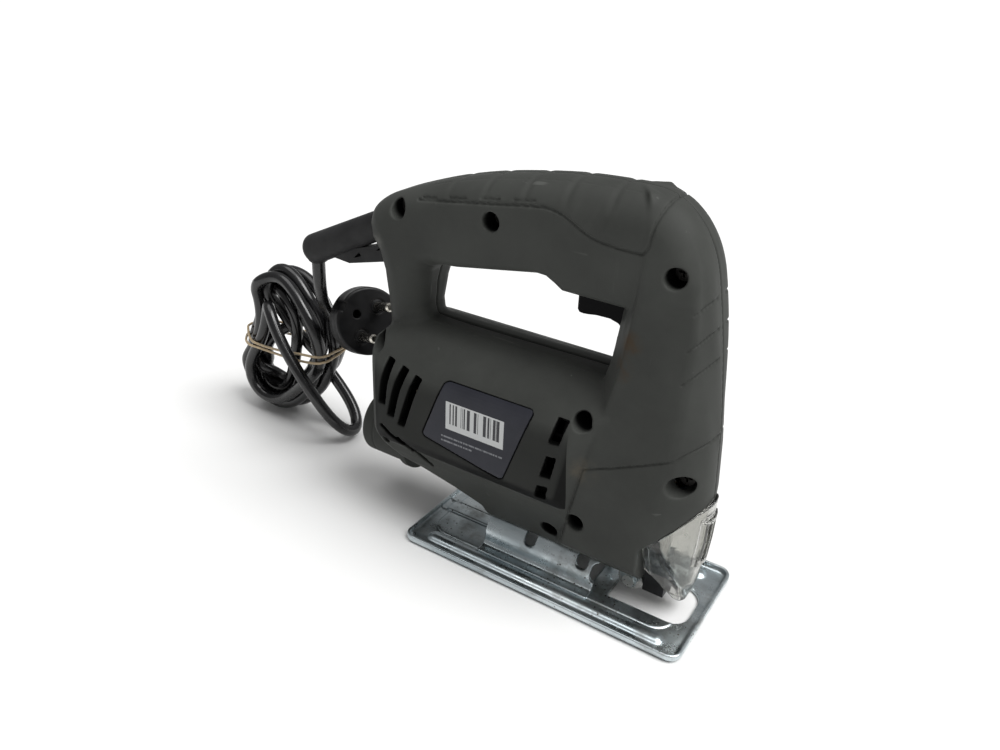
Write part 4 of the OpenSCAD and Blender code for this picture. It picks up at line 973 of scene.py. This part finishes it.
def bracket_field(x, y, z):
    a = np.abs(y)
    r = np.hypot(y, z - TILT_Z)
    arch = np.maximum(r - 16.5, TILT_Z - z)
    legs = np.maximum(a - 16.5, np.maximum(z - TILT_Z, 1.5 - z))
    flange = both(both(a - 23.4 + 0 * x, z - 3.0, 0.4), 1.5 - z, 0)
    outer = join(np.minimum(arch, legs), flange, 3.2)
    outer = np.maximum(outer, 1.5 - z)
    inner = np.where(z > TILT_Z, r - 14.7, a - 14.7)
    bracket = cut(outer, inner, 0.3)
    bracket = both(bracket, np.maximum(-38 - x, x - 24), 0.5)
    for sx in (-13, 16):
        slot_ = both(np.abs(x - sx) - 3.2, np.abs(z - 22) - 11.5 + 0 * y, 2.6)
        bracket = cut(bracket, np.maximum(slot_, 13 - r), 0.3)
    end = both(np.abs(x - 25.5) - 4.2, np.abs(z - 11) - 4.4 + 0 * y, 3)
    return cut(bracket, np.maximum(end, 13 - r), 0.3)


bracket = field_piece("tilt_saddle", (-40, -26, 0), (26.5, 26, 22.5), FINE_STEP, bracket_field, zinc_mat, 110000)
place(bracket, "base", "zinc_steel", "tilt_bracket")


# ---------------------------------------------------------------- plug and bands

PLUG_FACE = Vector((-140, 18, 86))
PLUG_AXIS = Vector((0.842, -0.429, 0.327)).normalized()
PIN_ROW = Vector((0.05, 0.667, 0.743))
PIN_ROW = (PIN_ROW - PIN_ROW.dot(PLUG_AXIS) * PLUG_AXIS).normalized()


def plug_field(x, y, z):
    r = np.hypot(x, y)
    body = both(r - 19, np.maximum(z, -13 - z), 1.5)
    dome = both(r - lerp(z, [-27, -22, -16, -12], [8.5, 13.5, 17.6, 18.6]), np.maximum(z + 6, -26.5 - z), 2.0)
    tail = both(r - lerp(z, [-40, -26, -24], [4.6, 6.0, 8]), np.maximum(z + 20, -40 - z), 1.0)
    whole = join(join(body, dome, 1.5), tail, 2.5)
    for zr in (-29, -32, -35, -38):
        whole = cut(whole, np.maximum(np.abs(z - zr) - 0.5, 4.7 - r), 0.2)
    a = np.abs(y)
    whole = cut(whole, np.maximum(np.abs(x) - 2.7, np.maximum(16.4 - a, -12 - z)), 0.5)
    whole = cut(whole, np.maximum(np.abs(a - 19.5) - 1.2, np.maximum(np.abs(x) - 8, -11 - z)), 0.6)
    whole = cut(whole, np.maximum(np.hypot(x, y - 8.5) - 2.4, -10 - z), 0.4)
    for s_ in (-1, 1):
        q = np.hypot(x - s_ * 9.5, y)
        ring = np.maximum(np.abs(q - 3.9) - 0.45, -0.7 - z)
        whole = cut(whole, ring, 0.15)
    return whole


plug = field_piece("mains_plug", (-21, -21, -42), (21, 21, 2), FINE_STEP, plug_field, plug_mat, 110000)
side_way = PLUG_AXIS.cross(PIN_ROW)
turn = Matrix((PIN_ROW, side_way, PLUG_AXIS)).transposed().to_4x4()
plug.data.transform(Matrix.Translation(PLUG_FACE * MM) @ turn)
place(plug, "tool", "rubber_black", "plug_body")


def hull_loop(points):
    """Convex hull of plan points, going round once."""
    pts = sorted(map(tuple, np.round(points, 2)))

    def half(run):
        out = []
        for p in run:
            while len(out) > 1:
                (ax, ay), (bx, by) = out[-2], out[-1]
                if (bx - ax) * (p[1] - ay) > (by - ay) * (p[0] - ax):
                    break
                out.pop()
            out.append(p)
        return out[:-1]

    return np.array(half(pts) + half(pts[::-1]))


def band_loop(level, tilt, grow, phase):
    """A rubber band round the turns, at a height that rises along x by tilt."""
    at = level + tilt * (cord_line[:, 0] + 205)
    near = cord_line[(np.abs(cord_line[:, 2] - at) < 4) & (cord_line[:, 1] > 11)]
    loop = hull_loop(near[:, :2])
    loop, _ = even(np.vstack([loop, loop[:1]]), 1.5)
    for _ in range(3):
        loop = (np.roll(loop, 1, 0) + 2 * loop + np.roll(loop, -1, 0)) / 4
    out = np.roll(loop, -1, 0) - np.roll(loop, 1, 0)
    out = np.stack([out[:, 1], -out[:, 0]], 1) / np.maximum(np.linalg.norm(out, axis=1, keepdims=True), 1e-6)
    loop = loop + out * (CORD_R + grow)
    wave = 1.3 * np.sin(np.linspace(0, 2 * np.pi, len(loop)) * 2 + phase)
    return np.c_[loop, level + tilt * (loop[:, 0] + 205) + wave]


def make_bands():
    loops = [band_loop(49, 0.10, 0.7, 0.3), band_loop(52.5, 0.06, 0.8, 2.1)]
    data = bpy.data.curves.new("rubber_bands", "CURVE")
    data.dimensions = "3D"
    data.bevel_depth = 0.75 * MM
    data.bevel_resolution = 3
    for loop in loops:
        spline = data.splines.new("POLY")
        spline.points.add(len(loop) - 1)
        spline.points.foreach_set("co", np.c_[loop * MM, np.ones(len(loop))].ravel())
        spline.use_cyclic_u = True
        spline.use_smooth = True
    data.materials.append(band_mat)
    obj = bpy.data.objects.new("rubber_bands", data)
    bpy.context.scene.collection.objects.link(obj)
    return obj


place(make_bands(), "tool", "band_rubber", "hank_band")


# ---------------------------------------------------------------- finishes of the CAD nodes kept as they are

NODE_FINISH = {}
for finish, names in (
    (screw_mat, "housing_screws blade_clamp_screws"),
    (trigger_mat, "switch_body cord_clamp cooling_fan trigger lock_button right_label left_label"),
    (film_mat, "capacitor"),
    (steel_mat, "cord_clamp_screws brush_springs gear_frame_screws roller_pin base_clamp_screws clamp_nuts "
     "drive_gear plunger_yoke trigger_spring"),
    (lamination_mat, "stator_core armature_core"),
    (copper_mat, "field_coils"),
    (holder_mat, "brush_holders"),
    (carbon_mat, "carbon_brushes"),
    (ground_mat, "rear_bearing front_bearing gear_axle crank_pin crank_roller armature_shaft plunger guide_roller"),
    (sleeve_mat, "bearing_boot cord_sleeve key_holder"),
    (cast_mat, "gear_frame"),
    (bronze_mat, "upper_bush lower_bush"),
    (felt_mat, "dust_seal"),
    (zinc_mat, "roller_bracket base_plate tilt_bracket"),
    (dusty_lit_mat, "clamp_plate"),
    (winding_mat, "armature_windings"),
    (bar_mat, "commutator"),
    (black_steel_mat, "blade_clamp"),
    (plug_mat, "plug_body"),
    (pin_mat, "plug_pins"),
    (band_mat, "hank_band"),
    (housing_mat, "dust_port right_shell left_shell"),
    (clear_mat, "blade_guard"),
    (cord_mat, "power_cord cord_hank"),
):
    for node_name in names.split():
        NODE_FINISH[node_name] = finish
for node_name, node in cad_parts.items():
    if not node.material_slots:
        node.data.materials.append(NODE_FINISH[node_name])
    for slot in node.material_slots:
        slot.material = NODE_FINISH[node_name]

# Widths of the rounded edges on the nodes kept as they are
SOFT_EDGES = {"lock_button": 0.6, "blade_clamp": 0.5, "roller_bracket": 0.3, "key_holder": 0.5, "roller_pin": 0.3,
              "clamp_plate": 0.3, "base_clamp_screws": 0.4, "plug_pins": 0.3, "guide_roller": 0.3}
for node_name, width in SOFT_EDGES.items():
    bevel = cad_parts[node_name].modifiers.new("soft_edges", "BEVEL")
    bevel.width = width * MM
    bevel.segments = 2
    bevel.limit_method = "ANGLE"
    bevel.angle_limit = math.radians(35)


# ---------------------------------------------------------------- floor and light


def make_stage():
    mesh = bpy.data.meshes.new("floor")
    s = 60.0
    mesh.from_pydata([(-s, -s, 0), (s, -s, 0), (s, s, 0), (-s, s, 0)], [], [(0, 1, 2, 3)])
    floor = bpy.data.objects.new("floor", mesh)
    floor.location = (0, 0, -0.0003)
    bpy.context.scene.collection.objects.link(floor)
    m = Shader("floor")
    m.set(Base_Color=(0.74, 0.74, 0.735, 1), Roughness=0.85)
    mesh.materials.append(m.mat)
    world = bpy.data.worlds.new("studio")
    bpy.context.scene.world = world
    world.use_nodes = True
    background = world.node_tree.nodes["Background"]
    background.inputs["Color"].default_value = (1.0, 1.0, 1.0, 1)
    background.inputs["Strength"].default_value = 0.3
    for name, way, strength, spread in (("key", (-0.65, -0.05, -1), 3.4, 40), ("fill", (0.15, 0.0, -1), 1.0, 45)):
        data = bpy.data.lights.new(name, "SUN")
        data.energy = strength
        data.angle = math.radians(spread)
        sun = bpy.data.objects.new(name, data)
        bpy.context.scene.collection.objects.link(sun)
        sun.rotation_mode = "QUATERNION"
        sun.rotation_quaternion = Vector(way).to_track_quat("-Z", "Y")
    bpy.context.scene.view_settings.view_transform = "Standard"
    bpy.context.scene.view_settings.look = "None"


make_stage()
